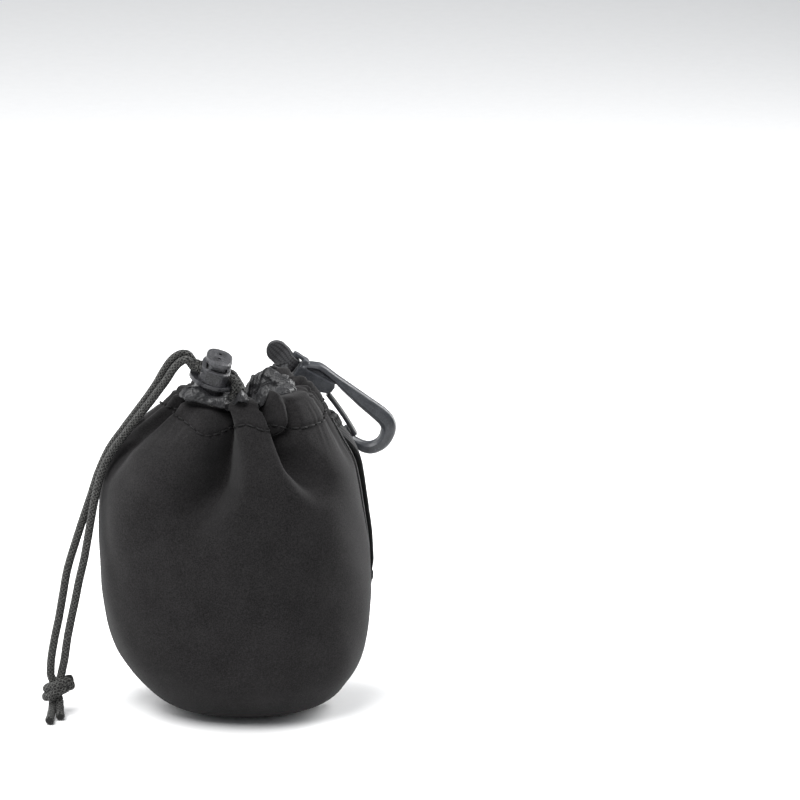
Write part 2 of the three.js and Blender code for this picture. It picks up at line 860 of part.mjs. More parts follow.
const leftTailShares = [
  [-0.178, -0.065, 0.461],
  [-0.206, -0.252, 0.289],
  [-0.224, -0.589, 0.178],
  [-0.243, -1, 0.178],
];

const rightTailShares = [
  [0.037, -0.14, 0.526],
  [0.047, -0.271, 0.342],
  [0.028, -0.514, 0.178],
  [0.019, -0.682, 0.171],
];

function beside([leftShare, forwardShare], height) {
  const x = leftShare * pouchHalfWidth - lockLeft;
  const y = forwardShare * pouchHalfDepth - lockForward;
  return vector(x, y, height);
}

function strand(side, shares) {
  const across = (side * cordPitch) / 2;
  const start = lockWidth / 2 + 2 * touchGap;
  const hang = pouchHeight - cordEndHeight;
  const route = [
    inLock(start, across, lockCordHeight),
    inLock(start + lockTravel / 2, across, lockCordHeight),
    inLock(start + lockTravel, across, lockCordHeight),
    ...shares.map((share) => beside(share, cordEndHeight + share[2] * hang)),
  ];
  return tubeMesh(new THREE.CatmullRomCurve3(route), cordRadius, cordSides, strandSteps);
}

// The overhand knot, as lobes that overlap: the place and the half sizes of each.

const knotPlaceShares = [-1.1144, -0.1344];
const knotLobeShares = [
  { place: [-0.5, 0, -0.04], size: [0.52, 0.86, 0.94] },
  { place: [0.5, 0, 0.1], size: [0.52, 0.86, 0.9] },
  { place: [0, -0.2, 0], size: [0.66, 0.9, 0.66] },
  { place: [0, 0.2, 0.1], size: [0.66, 0.8, 0.6] },
];
const knotMiddle = beside(knotPlaceShares, knotHeight);
const knotHalf = vector(knotHalfWidth, knotHalfDepth, knotHalfHeight);

function drawcordKnot() {
  const lobes = knotLobeShares.map(({ place, size }) => {
    const lobe = new THREE.SphereGeometry(1, 12, 8).rotateX(Math.PI / 2);
    const half = vector(...size).multiply(knotHalf);
    const at = vector(...place).multiply(knotHalf).add(knotMiddle);
    return toSolid(lobe.scale(half.x, half.y, half.z).translate(at.x, at.y, at.z));
  });
  return toGeometry(lobes.reduce((knot, lobe) => knot.add(lobe)));
}

function tail(shares, steps) {
  const points = shares.map(([acrossShare, forwardShare, heightShare]) => {
    const x = knotMiddle.x + acrossShare * tailReach;
    const y = knotMiddle.y + forwardShare * tailReach;
    return vector(x, y, heightShare * knotHeight);
  });
  return tubeMesh(new THREE.CatmullRomCurve3(points), cordRadius, cordSides, steps);
}

// A thin sheet between two grids of points, closed at its four edges.

function sheetSolid(inner, outer) {
  const rows = inner.length;
  const columns = inner[0].length;
  const points = [...inner.flat(), ...outer.flat()];
  const at = (layer, i, j) => layer * rows * columns + i * columns + j;
  const faces = [];
  const quad = (a, b, c, d) => faces.push([a, b, c], [a, c, d]);
  for (let i = 0; i < rows - 1; i++) {
    for (let j = 0; j < columns - 1; j++) {
      quad(at(0, i, j), at(0, i + 1, j), at(0, i + 1, j + 1), at(0, i, j + 1));
      quad(at(1, i, j), at(1, i, j + 1), at(1, i + 1, j + 1), at(1, i + 1, j));
    }
    quad(at(0, i, 0), at(1, i, 0), at(1, i + 1, 0), at(0, i + 1, 0));
    const j = columns - 1;
    quad(at(0, i, j), at(0, i + 1, j), at(1, i + 1, j), at(1, i, j));
  }
  for (let j = 0; j < columns - 1; j++) {
    quad(at(0, 0, j), at(0, 0, j + 1), at(1, 0, j + 1), at(1, 0, j));
    const i = rows - 1;
    quad(at(0, i, j), at(1, i, j), at(1, i, j + 1), at(0, i, j + 1));
  }
  return turnedOut(geometryOf(points, faces));
}

// A band that lies on the pouch wall: width across, between two heights, at a distance off it.
function wallBand(turn, width, lowShare, highShare, distance, thickness, columns) {
  const angle = turn * degree;
  const levels = levelShares.map(([share]) => share);
  const inside = levels.filter((share) => share > lowShare && share < highShare);
  const shares = [lowShare, ...inside, highShare];
  const grid = (off) =>
    shares.map((heightShare) => {
      const middle = wallPoint(angle, heightShare);
      const reach = Math.hypot(middle.x - middleAt(heightShare), middle.y);
      return Array.from({ length: columns + 1 }, (_, j) => {
        const aside = ((j / columns - 1 / 2) * width) / reach;
        return offWall(angle + aside, heightShare, off);
      });
    });
  return sheetSolid(grid(distance), grid(distance + thickness));
}

function beltStrap() {
  const [low, high] = [strapLowShare, strapHighShare];
  return wallBand(strapAngle, strapWidth, low, high, strapStandoff, strapThickness, strapColumns);
}

function strapTack(heightShare) {
  const half = tackHeight / pouchHeight / 2;
  const [low, high] = [heightShare - half, heightShare + half];
  const distance = strapStandoff + strapThickness + 3 * touchGap;
  const width = strapWidth - tackInset;
  return wallBand(strapAngle, width, low, high, distance, tackThickness, strapColumns);
}

// The webbing loop: sewn to the back, up behind the mouth, folded over and round the hook's bar.

function slopeDown(slope) {
  return vector(Math.cos(slope * degree), 0, -Math.sin(slope * degree));
}

const barAxis = vector(Math.sin(hookSlope * degree), 0, Math.cos(hookSlope * degree));
const loopTurnRadius = barRadius + touchGap + loopWebbingThickness;
const loopOffset = vector(-loopLean, loopBehind, loopRise);
const cornerPoint = wallPoint(loopTailAngle * degree, 1).add(loopOffset);
const barPoint = cornerPoint.clone().addScaledVector(slopeDown(loopSlope), loopReach);

function hookLoop() {
  const width = loopWebbingWidth;
  const folded = 2 * loopWebbingThickness;
  const legLength = loopReach - loopTurnRadius + loopWebbingThickness / 3;
  const leg = new THREE.BoxGeometry(legLength, folded, width);
  leg.translate(legLength / 2, 0, 0).rotateY(loopSlope * degree);
  leg.translate(cornerPoint.x, cornerPoint.y, cornerPoint.z);
  const corner = new THREE.CylinderGeometry(width / 2, width / 2, folded, 20);
  corner.translate(cornerPoint.x, cornerPoint.y, cornerPoint.z);
  const ring = new THREE.Shape();
  ring.absarc(0, 0, loopTurnRadius, 0, 2 * Math.PI, false);
  const hole = new THREE.Path();
  hole.absarc(0, 0, barRadius + touchGap, 0, 2 * Math.PI, true);
  ring.holes.push(hole);
  const settings = { depth: width, bevelEnabled: false, curveSegments: 9 };
  const turn = new THREE.ExtrudeGeometry(ring, settings);
  turn.translate(0, 0, -width / 2);
  turn.applyMatrix4(frameOf(barPoint, slopeDown(hookSlope), vector(0, 1, 0), barAxis));
  const neckWidth = width * neckWidthShare;
  const neckFront = loopTurnRadius + folded * neckFrontShare;
  const neckBack = loopTurnRadius - loopWebbingThickness * neckBackShare;
  const neckHeight = width * neckHeightShare;
  const neck = block(
    vector(neckWidth, neckFront - neckBack, neckHeight),
    vector(
      barPoint.x - neckWidth * neckPlaceShare,
      barPoint.y - (neckFront + neckBack) / 2,
      barPoint.z - neckHeight / 2 + barRadius,
    ),
  );
  const low = loopTailLowShare;
  const band = wallBand(loopTailAngle, width, low, 1, loopTailStandoff, folded, loopTailColumns);
  const parts = [leg, corner, turn, neck, band].map((piece) => toSolid(piece));
  return toGeometry(parts.reduce((solid, piece) => solid.add(piece)));
}

function hookLoopTack() {
  const size = vector(loopWebbingWidth * loopTackWidthShare, tackThickness, tackHeight);
  const away = loopWebbingThickness + touchGap + tackThickness / 2;
  const tack = block(size, vector(-loopWebbingWidth * loopTackPlaceShare, away, 0));
  tack.rotateY(loopSlope * degree);
  return tack.translate(cornerPoint.x, cornerPoint.y, cornerPoint.z);
}

// The snap hook, drawn in its own frame: X along it from the bar, Y towards the spine.

const hookAlong = slopeDown(hookSlope);
const hookOut = hookAlong.clone().cross(barAxis);
const hookFrame = frameOf(barPoint, hookAlong, barAxis, hookOut);
const eyeClear = loopTurnRadius + touchGap;
const eyeHalf = loopWebbingWidth / 2 + runningGap + eyeArm;

const hookRoot = eyeClear + eyeInnerBar / 2;

// The spine's middle line from the eye round to the nose: along, across, and width.
const spineShares = [
  [0.01, 0.155, 0.12],
  [0.09, 0.3, 0.115],
  [0.178, 0.358, 0.119],
  [0.267, 0.344, 0.146],
  [0.368, 0.29, 0.19],
  [0.484, 0.254, 0.212],
  [0.629, 0.232, 0.222],
  [0.745, 0.199, 0.245],
  [0.835, 0.113, 0.27],
  [0.887, -0.033, 0.285],
  [0.889, -0.205, 0.28],
  [0.858, -0.364, 0.255],
  [0.797, -0.47, 0.21],
  [0.722, -0.503, 0.17],
  [0.65, -0.483, 0.143],
  [0.586, -0.42, 0.1],
];

// The block between the eye and the gate, as corners along and across.
const blockShares = [
  [-0.01, -0.085],
  [0.305, -0.02],
  [0.305, 0.182],
  [-0.01, 0.09],
];

const gateRootShares = [0.317, -0.02];
const gateTipShares = [0.676, -0.365];

function hookPoint([alongShare, acrossShare]) {
  const along = hookRoot + alongShare * (hookLength - hookRoot);
  return new THREE.Vector2(along, acrossShare * hookReach);
}

function hookSpine() {
  const middles = spineShares.map((row) => hookPoint(row));
  const rings = middles.map((middle, i) => {
    const before = middles[Math.max(0, i - 1)];
    const after = middles[Math.min(middles.length - 1, i + 1)];
    const way = after.clone().sub(before).normalize();
    const half = (spineShares[i][2] * hookReach) / 2;
    return Array.from({ length: spineSides }, (_, k) => {
      const turn = (fullTurn * (k + 1 / 2)) / spineSides;
      const c = Math.sign(Math.cos(turn)) * Math.abs(Math.cos(turn)) ** spineRoundingPower;
      const s = Math.sign(Math.sin(turn)) * Math.abs(Math.sin(turn)) ** spineRoundingPower;
      const x = middle.x - way.y * half * c;
      const y = middle.y + way.x * half * c;
      return vector(x, y, (hookThickness / 2) * s);
    });
  });
  return loft(rings);
}

function snapHook() {
  const bar = new THREE.CylinderGeometry(barRadius, barRadius, 2 * eyeHalf, 12);
  const armLength = eyeClear + eyeInnerBar;
  const armSize = vector(armLength, eyeArm, eyeThickness);
  const arms = [-1, 1].map((side) =>
    block(armSize, vector(armLength / 2, side * (eyeHalf - eyeArm / 2), 0)),
  );
  const inner = block(
    vector(eyeInnerBar, 2 * eyeHalf, eyeThickness),
    vector(eyeClear + eyeInnerBar / 2, 0, 0),
  );
  const outline = new THREE.Shape(blockShares.map(hookPoint));
  const settings = { depth: blockThickness, bevelEnabled: false };
  const body = new THREE.ExtrudeGeometry(outline, settings);
  body.translate(0, 0, -blockThickness / 2);
  const parts = [bar, ...arms, inner, body, hookSpine()].map((piece) => toSolid(piece));
  return placed(parts.reduce((solid, piece) => solid.add(piece)), hookFrame);
}

function hookGate() {
  const root = hookPoint(gateRootShares);
  const tip = hookPoint(gateTipShares);
  const way = tip.clone().sub(root);
  const across = new THREE.Vector2(-way.y, way.x).normalize();
  const sag = gateThickness * gateSagShare;
  const rings = Array.from({ length: gateSteps + 1 }, (_, i) => {
    const share = i / gateSteps;
    const bow = sag * Math.sin(Math.PI * share);
    const middle = root.clone().addScaledVector(way, share).addScaledVector(across, bow);
    const half = gateThickness / 2;
    const corner = (side, out) => {
      const p = middle.clone().addScaledVector(across, side * half);
      return vector(p.x, p.y, (out * gateDepth) / 2);
    };
    return [corner(-1, -1), corner(1, -1), corner(1, 1), corner(-1, 1)];
  });
  return loft(rings).applyMatrix4(hookFrame);
}

// Materials, one for each sub-part, and the assembly.

function finish(color, roughness, metalness = 0) {
  return new THREE.MeshStandardMaterial({ color, roughness, metalness });
}

const neoprene = () => finish(0x1c1b1c, 0.92);
const thread = () => finish(0x101011, 0.7);
const nylon = () => finish(0x26262a, 0.38);
const braid = () => finish(0x2a2a2c, 0.75);
const webbing = () => finish(0x1f1f20, 0.8);
const lockPlastic = () => finish(0x2c2c2f, 0.42);
const hookPlastic = () => finish(0x3c3f46, 0.4);
const springSteel = () => finish(0xb8bac0, 0.3, 1);

const pieces = [
  ["front_panel", panelGeometry(Math.PI, frontPanelColumns, -seamGap / 2), neoprene()],
  ["back_panel", panelGeometry(0, backPanelColumns, seamGap / 2), neoprene()],
  ["side_seam_right", seamThread(0), thread()],
  ["side_seam_left", seamThread(Math.PI), thread()],
  ["channel_stitch", channelStitch(), thread()],
  ["channel_sleeve", channelSleeve(), nylon()],
  ["drawcord_in_channel", channelCord(), braid()],
  ["lock_barrel", lockBarrel(), lockPlastic()],
  ["lock_plunger", lockPlunger(), lockPlastic()],
  ["lock_spring", lockSpring(), springSteel()],
  ["belt_strap", beltStrap(), webbing()],
  ["strap_tack_top", strapTack(strapHighShare - tackInset / pouchHeight), thread()],
  ["strap_tack_bottom", strapTack(strapLowShare + tackInset / pouchHeight), thread()],
  ["hook_loop", hookLoop(), webbing()],
  ["hook_loop_tack", hookLoopTack(), thread()],
  ["snap_hook", snapHook(), hookPlastic()],
  ["hook_gate", hookGate(), hookPlastic()],
];

const cordPieces = [
  ["drawcord_left", strand(-1, leftStrandShares), braid()],
  ["drawcord_right", strand(1, rightStrandShares), braid()],
  ["drawcord_knot", drawcordKnot(), braid()],
  ["drawcord_tail_left", tail(leftTailShares, leftTailSteps), braid()],
  ["drawcord_tail_right", tail(rightTailShares, rightTailSteps), braid()],
];

function meshOf([name, geometry, material]) {
  const mesh = new THREE.Mesh(geometry, material);
  mesh.name = name;
  return mesh;
}

const pouch = new THREE.Group();
pieces.forEach((piece) => pouch.add(meshOf(piece)));
const footprint = new THREE.Box3().setFromObject(pouch);
const middle = footprint.getCenter(vector(0, 0, 0));
cordPieces.forEach((piece) => pouch.add(meshOf(piece)));
pouch.position.set(-middle.x, -middle.y, -footprint.min.z);

const lensPouch = new THREE.Group();
lensPouch.add(pouch);

export default lensPouch;
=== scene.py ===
# A small padded drawstring pouch for a camera lens, standing filled with its mouth drawn shut.
# Metres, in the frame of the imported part: +Z up, front towards -Y. "mm" below is one millimetre.

import itertools
import math

import bmesh
import bpy
import numpy as np
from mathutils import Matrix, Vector


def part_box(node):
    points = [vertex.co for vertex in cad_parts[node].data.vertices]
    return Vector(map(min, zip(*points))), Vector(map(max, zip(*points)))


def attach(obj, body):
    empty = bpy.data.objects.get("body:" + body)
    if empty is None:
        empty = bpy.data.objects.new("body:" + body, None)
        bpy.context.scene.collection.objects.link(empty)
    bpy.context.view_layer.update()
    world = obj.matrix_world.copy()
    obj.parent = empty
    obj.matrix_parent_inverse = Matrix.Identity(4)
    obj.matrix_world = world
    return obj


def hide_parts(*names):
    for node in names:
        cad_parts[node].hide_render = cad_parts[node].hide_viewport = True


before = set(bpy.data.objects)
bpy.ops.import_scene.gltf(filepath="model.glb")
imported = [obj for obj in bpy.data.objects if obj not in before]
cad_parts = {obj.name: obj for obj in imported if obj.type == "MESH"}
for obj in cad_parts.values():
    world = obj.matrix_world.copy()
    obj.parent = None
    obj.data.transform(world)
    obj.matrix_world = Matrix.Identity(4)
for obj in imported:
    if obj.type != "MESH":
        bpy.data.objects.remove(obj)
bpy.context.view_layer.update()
mm = 0.001


# Stage. A flat white paper sheet with one broad soft lamp above and in front, and a strip lamp on
# either side behind, which draws the thin light line down the pouch's edges. The camera looks
# along +Y from 17 degrees up, far back, with the pouch in the left half of the frame.

camera_far = 6000 * mm
camera_tilt = math.radians(17)
looks_at = Vector((42.5 * mm, 0, 88.4 * mm))
frame_width = 222.2 * mm
film_width = 36

camera_data = bpy.data.cameras.new("camera")
camera_data.sensor_width = film_width
camera_data.lens = film_width * camera_far / frame_width
camera_data.clip_end = 20
camera = bpy.data.objects.new("camera", camera_data)
bpy.context.scene.collection.objects.link(camera)
bpy.context.scene.camera = camera
camera.location = looks_at - camera_far * Vector((0, math.cos(camera_tilt), -math.sin(camera_tilt)))
camera.rotation_euler = (math.pi / 2 - camera_tilt, 0, 0)

bpy.context.scene.view_settings.view_transform = "Standard"


class Graph:
    """The shader nodes of one material, group or sky, with a short call for each common node."""

    def __init__(self, tree):
        self.tree = tree

    def feed(self, value, socket):
        if hasattr(value, "links"):
            self.tree.links.new(value, socket)
        else:
            socket.default_value = value

    def node(self, kind, values=(), **settings):
        made = self.tree.nodes.new(kind)
        for key, value in settings.items():
            setattr(made, key, value)
        for socket, value in values:
            self.feed(value, made.inputs[socket])
        return made

    def maths(self, operation, first, second=0.0, clamp=False):
        values = [(0, first), (1, second)]
        return self.node("ShaderNodeMath", values, operation=operation, use_clamp=clamp).outputs[0]

    def plus(self, first, second, clamp=False):
        return self.maths("ADD", first, second, clamp)

    def minus(self, first, second):
        return self.maths("SUBTRACT", first, second)

    def times(self, first, second, clamp=False):
        return self.maths("MULTIPLY", first, second, clamp)

    def over(self, first, second):
        return self.maths("DIVIDE", first, second)

    def sine(self, angle):
        return self.maths("SINE", angle)

    def noise(self, place, scale, detail):
        values = [("Vector", place), ("Scale", scale), ("Detail", detail)]
        return self.node("ShaderNodeTexNoise", values).outputs[0]

    def blend(self, share, first, second):
        values = [("Factor", share), (6, first), (7, second)]
        return self.node("ShaderNodeMix", values, data_type="RGBA").outputs[2]

    def place(self, scale=1.0):
        """The place on the piece, in metres or scaled."""
        here = self.node("ShaderNodeTexCoord").outputs["Object"]
        scaled = self.node("ShaderNodeVectorMath", [(0, here), (1, (scale,) * 3)], operation="MULTIPLY")
        return scaled.outputs[0]

    def cloth_run(self):
        """The place on the cloth, and its parts across and along, in millimetres."""
        run = self.node("ShaderNodeUVMap", uv_map="run").outputs[0]
        split = self.node("ShaderNodeSeparateXYZ", [(0, run)]).outputs
        return run, split[0], split[1]


world = bpy.data.worlds.new("studio")
bpy.context.scene.world = world
world.use_nodes = True
world.node_tree.nodes.clear()
sky = Graph(world.node_tree)
rays = sky.node("ShaderNodeLightPath").outputs
seen = sky.maths("MAXIMUM", rays["Is Camera Ray"], rays["Is Transmission Ray"])
white = sky.node("ShaderNodeBackground", [("Color", (1, 1, 1, 1)), ("Strength", 1.0)])
fill = sky.node("ShaderNodeBackground", [("Color", (0.93, 0.96, 1, 1)), ("Strength", 0.3)])
sky_light = sky.node("ShaderNodeMixShader", [(0, seen), (1, fill.outputs[0]), (2, white.outputs[0])])
sky.node("ShaderNodeOutputWorld", [("Surface", sky_light.outputs[0])])


def soft_lamp(name, place, size, power, aim=(0, 0, 45 * mm)):
    data = bpy.data.lights.new(name, "AREA")
    data.shape = "RECTANGLE"
    data.size, data.size_y = size
    data.energy = power
    lamp = bpy.data.objects.new(name, data)
    bpy.context.scene.collection.objects.link(lamp)
    lamp.location = place
    lamp.rotation_euler = (Vector(aim) - Vector(place)).to_track_quat("-Z", "Y").to_euler()


soft_lamp("lamp_above", (-0.22, -0.3, 0.8), (0.55, 0.55), 9.5)
soft_lamp("lamp_strip_right", (0.42, 0.3, 0.25), (0.12, 0.6), 5)
soft_lamp("lamp_strip_left", (-0.45, 0.25, 0.3), (0.12, 0.6), 3)

paper = bpy.data.materials.new("white_paper")
paper.use_nodes = True
pulp = Graph(paper.node_tree)
paper_shader = paper.node_tree.nodes["Principled BSDF"].inputs
paper_shader["Roughness"].default_value = 0.9
paper_grain = pulp.node("ShaderNodeTexNoise", [("Scale", 900.0)]).outputs[0]
pulp.feed(pulp.blend(paper_grain, (0.93, 0.93, 0.93, 1), (0.97, 0.97, 0.97, 1)), paper_shader["Base Color"])

sheet_half = 1600 * mm
sheet_corners = [(x * sheet_half, y * sheet_half, 0) for x, y in ((-1, -1), (1, -1), (1, 1), (-1, 1))]
sheet_mesh = bpy.data.meshes.new("paper_sheet")
sheet_mesh.from_pydata(sheet_corners, [], [(0, 1, 2, 3)])
sheet_mesh.materials.append(paper)
floor = bpy.data.objects.new("paper_sheet", sheet_mesh)
bpy.context.scene.collection.objects.link(floor)


# Drawcord. A round braid, black with grey fleck, 2.3 mm across. Its two ends come out of the
# cord lock, rise in an arch, lie over the left shoulder and hang to the knot.

pouch_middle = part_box("front_panel")[0].x + 40.41 * mm
cord_width = 2.3 * mm


def catmull(points, between=12):
    """A smooth line through the points, as many steps between each two."""
    rows = [np.array(p, float) for p in points]
    rows = [2 * rows[0] - rows[1], *rows, 2 * rows[-1] - rows[-2]]
    line = []
    for a, b, c, d in zip(rows, rows[1:], rows[2:], rows[3:]):
        for step in range(between):
            t = step / between
            bend = (2 * a - 5 * b + 4 * c - d) * t * t + (3 * b - a - 3 * c + d) * t**3
            line.append(0.5 * (2 * b + (c - a) * t + bend))
    return np.array([*line, rows[-2]])


def evenly(line, spacing):
    """The same line with its points a set distance apart."""
    steps = np.linalg.norm(np.diff(line, axis=0), axis=1)
    run = np.concatenate([[0], np.cumsum(steps)])
    count = max(2, int(round(run[-1] / spacing)) + 1)
    marks = np.linspace(0, run[-1], count)
    return np.stack([np.interp(marks, run, line[:, k]) for k in range(3)], axis=1), marks


def carried_frames(line):
    """Two directions square to the line at each point, carried along without twist."""
    ways = np.gradient(line, axis=0)
    ways /= np.linalg.norm(ways, axis=1)[:, None]
    side = np.cross(ways[0], (0.13, 0.21, 1.0))
    side /= np.linalg.norm(side)
    first = []
    for way in ways:
        side = side - way * side.dot(way)
        side /= np.linalg.norm(side)
        first.append(side.copy())
    first = np.array(first)
    return first, np.cross(ways, first)


def add_piece(name, places, faces, finish, runs=None):
    """A mesh piece in the part's frame. runs gives each corner's place on the cloth, in mm."""
    data = bpy.data.meshes.new(name)
    data.from_pydata([tuple(p) for p in places], [], faces)
    if runs is not None:
        layer = data.uv_layers.new(name="run")
        layer.data.foreach_set("uv", np.array(runs, np.float32).reshape(-1))
    data.materials.append(finish)
    data.validate()
    data.polygons.foreach_set("use_smooth", [True] * len(data.polygons))
    piece = bpy.data.objects.new(name, data)
    bpy.context.scene.collection.objects.link(piece)
    return piece


def ringed(rings, closed=False, across=None):
    """Faces and cloth runs of a skin over rings of points, the last joined to the first if closed.

    across gives each point's place across the cloth in mm, where it isn't evenly round the ring.
    """
    count = rings.shape[1]
    around = np.linalg.norm(rings[:, 1] - rings[:, 0], axis=1).mean() / mm
    steps = np.linalg.norm(np.diff(rings.mean(axis=1), axis=0), axis=1)
    along = np.concatenate([[0], np.cumsum(steps), [steps.sum() + steps[-1]]]) / mm
    faces = []
    runs = []
    for i in range(len(rings) if closed else len(rings) - 1):
        here = i * count
        there = ((i + 1) % len(rings)) * count
        for k in range(count):
            other = (k + 1) % count
            faces.append((here + k, here + other, there + other, there + k))
            u = (k * around, (k + 1) * around) if across is None else (across[k], across[other])
            runs += [(u[0], along[i]), (u[1], along[i]), (u[1], along[i + 1]), (u[0], along[i + 1])]
    if not closed:
        faces.append(tuple(range(count - 1, -1, -1)))
        faces.append(tuple(range((len(rings) - 1) * count, len(rings) * count)))
        runs += [(0, 0)] * count * 2
    return faces, runs


def add_rings(name, rings, finish, closed=False, across=None):
    faces, runs = ringed(rings, closed, across)
    return add_piece(name, rings.reshape(-1, 3), faces, finish, runs)


def tube_rings(line, radius, sides):
    """Rings of points round a line. radius is one value, or one for each point."""
    first, second = carried_frames(line)
    turns = np.arange(sides) * 2 * math.pi / sides
    ring = np.cos(turns)[:, None] * first[:, None, :] + np.sin(turns)[:, None] * second[:, None, :]
    return line[:, None, :] + np.asarray(radius)[..., None] * ring


def pattern_group(name, inputs, outputs=("Color", "Height")):
    """A shader group with its inputs and their usual values, ready to be filled with nodes."""
    group = bpy.data.node_groups.new(name, "ShaderNodeTree")
    for label, value in inputs.items():
        kind = "NodeSocketColor" if isinstance(value, tuple) else "NodeSocketFloat"
        group.interface.new_socket(label, in_out="INPUT", socket_type=kind).default_value = value
    for label in outputs:
        kind = "NodeSocketColor" if label == "Color" else "NodeSocketFloat"
        group.interface.new_socket(label, in_out="OUTPUT", socket_type=kind)
    nodes = Graph(group)
    return nodes, nodes.node("NodeGroupInput").outputs, nodes.node("NodeGroupOutput").inputs


def new_finish(name, pattern, roughness, raised, values=(), strength=1.0, sheen=0.0, specular=0.5):
    """A material with the colour and relief of a pattern, and its roughness too where that is None.

    values gives the inputs of the pattern that aren't as usual.
    """
    finish = bpy.data.materials.new(name)
    finish.use_nodes = True
    nodes = Graph(finish.node_tree)
    shader = finish.node_tree.nodes["Principled BSDF"].inputs
    shader["Sheen Weight"].default_value = sheen
    shader["Sheen Roughness"].default_value = 0.5
    shader["Specular IOR Level"].default_value = specular
    given = nodes.node("ShaderNodeGroup", dict(values).items(), node_tree=pattern.tree).outputs
    nodes.feed(given["Color"], shader["Base Color"])
    relief = [("Height", given["Height"]), ("Distance", raised), ("Strength", strength)]
    nodes.feed(nodes.node("ShaderNodeBump", relief).outputs[0], shader["Normal"])
    nodes.feed(given["Roughness"] if roughness is None else roughness, shader["Roughness"])
    return finish, shader


# Braid pattern: strands that cross left and right up the cord, flecked with grey yarn.
braid_pattern, given, out = pattern_group(
    "braid_pattern",
    {"Strand Pitch": 1.1, "Fleck": 0.52, "Dark": (0.003, 0.003, 0.0032, 1), "Light": (0.17, 0.17, 0.16, 1)},
)
g = braid_pattern
run, across, along = g.cloth_run()
turn_one = g.over(g.plus(across, along), given["Strand Pitch"])
turn_two = g.over(g.minus(across, along), given["Strand Pitch"])
crossing = g.maths("MAXIMUM", g.sine(g.times(turn_one, 2 * math.pi)), g.sine(g.times(turn_two, 2 * math.pi)))
yarn = g.noise(run, 3.4, 3.0)
fleck = g.minus(g.plus(g.times(yarn, 1.1), g.times(crossing, 0.16)), given["Fleck"])
shade = g.times(g.times(fleck, 4.0, clamp=True), g.noise(run, 1.1, 1.0))
g.feed(g.blend(shade, given["Dark"], given["Light"]), out["Color"])
g.feed(g.plus(crossing, g.times(yarn, 0.7)), out["Height"])

braid_finish, _ = new_finish("cord_braid", braid_pattern, 0.75, 0.12 * mm, sheen=0.06, specular=0.25)

strand_lay = 1.05 * mm
strands_each_way = 4
strand_rise_share = 0.045


def braided_cord(name, line, width=cord_width, sides=20, spacing=0.3 * mm, ends=None):
    """A tube with the braid's crossings standing up a little on its skin."""
    path, marks = evenly(line, spacing)
    lie = strands_each_way * np.arange(sides) * 2 * math.pi / sides
    run = marks[:, None] / strand_lay * math.pi
    bumps = np.maximum(np.sin(lie + run), np.sin(lie - run))
    reach = width / 2 * (1 + strand_rise_share * (bumps - 0.6))
    if ends is not None:
        reach = reach * ends(marks / marks[-1])[:, None]
    return add_rings(name, tube_rings(path, reach, sides), braid_finish), path


def shifted(points):
    return [(x * mm + pouch_middle, y * mm, z * mm) for x, y, z in points]


lock_axis = Vector((0.29, -0.2, 0.93)).normalized()
lock_across = lock_axis.cross(Vector((-0.955, 0, 0.295))).normalized()
lock_cordways = lock_across.cross(lock_axis)
lock_foot = Vector((-9.9 * mm + pouch_middle, -5.4 * mm, 92.7 * mm))
lock_cord_height = 6.6 * mm
cords_apart = 2.6 * mm
lock_width = 8.4 * mm


def in_lock(along, across, height):
    return lock_foot + lock_cordways * along + lock_across * across + lock_axis * height


def lock_exit(side):
    along = [lock_width / 2 + step for step in (0.6 * mm, 1.35 * mm, 2.1 * mm)]
    return [tuple(in_lock(a, side * cords_apart / 2, lock_cord_height)) for a in along]


left_route = lock_exit(-1) + shifted([
    (-15.6, -5.8, 103.4), (-18, -5.9, 103.4), (-20.3, -6, 101.6), (-22.3, -6, 98.6), (-24.3, -6, 95),
    (-26.6, -5.8, 91.4), (-29.2, -5.2, 87.6), (-33.2, -4.6, 81.9), (-37.4, -4, 75.6), (-40.4, -4.4, 69),
    (-42.7, -5.3, 62), (-44.8, -6.5, 55.9), (-46.9, -8, 49.6), (-49.2, -8.5, 41.7), (-50.6, -9, 33.7),
    (-51.7, -9, 27.3), (-52.9, -9, 21.5), (-53.8, -9.2, 15.7), (-54, -9.4, 11.6),
])
right_route = lock_exit(1) + shifted([
    (-15.7, -8.4, 102.6), (-17.7, -8.4, 101.9), (-19.6, -8.4, 99.8), (-21.6, -8.4, 96.6),
    (-23.8, -8.3, 93.5), (-26, -8.2, 90.4), (-28.6, -8, 87), (-33.1, -7.6, 80.8), (-36.9, -7.2, 75.2),
    (-39.7, -7.3, 69.2), (-41.4, -8, 62.5), (-42.6, -9.2, 56.3), (-43.6, -10.2, 50.4), (-44.6, -10.8, 45),
    (-45.9, -11.2, 39.4), (-47, -11.2, 33.7), (-48.2, -11, 27.9), (-49.3, -10.6, 21.9), (-50.1, -10, 16),
    (-50.9, -9.8, 12.1),
])

strands = {}
for name, route in (("drawcord_left", left_route), ("drawcord_right", right_route)):
    strand, path = braided_cord("braid_" + name, catmull(route))
    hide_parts(name)
    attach(strand, "pouch")
    strands[name] = (strand, path)


# Knot and tails. Both ends are tied together in one overhand knot, drawn up tight, and the two
# tails below it are cut and melted so that the braid can't run.

knot_middle = np.array([-51.8 * mm + pouch_middle, -9.7 * mm, 7.6 * mm])


def knot_turn(lift, swing, wide):
    """One lap of the knot's wrap, a slanted loop round the two strands."""
    turns = np.linspace(0, 2 * math.pi, 9)[:-1]
    x, y = 3.2 * wide * np.cos(turns), 1.9 * wide * np.sin(turns)
    return knot_middle + mm * np.stack([x, y, lift + swing * np.cos(turns + 0.25)], axis=1)


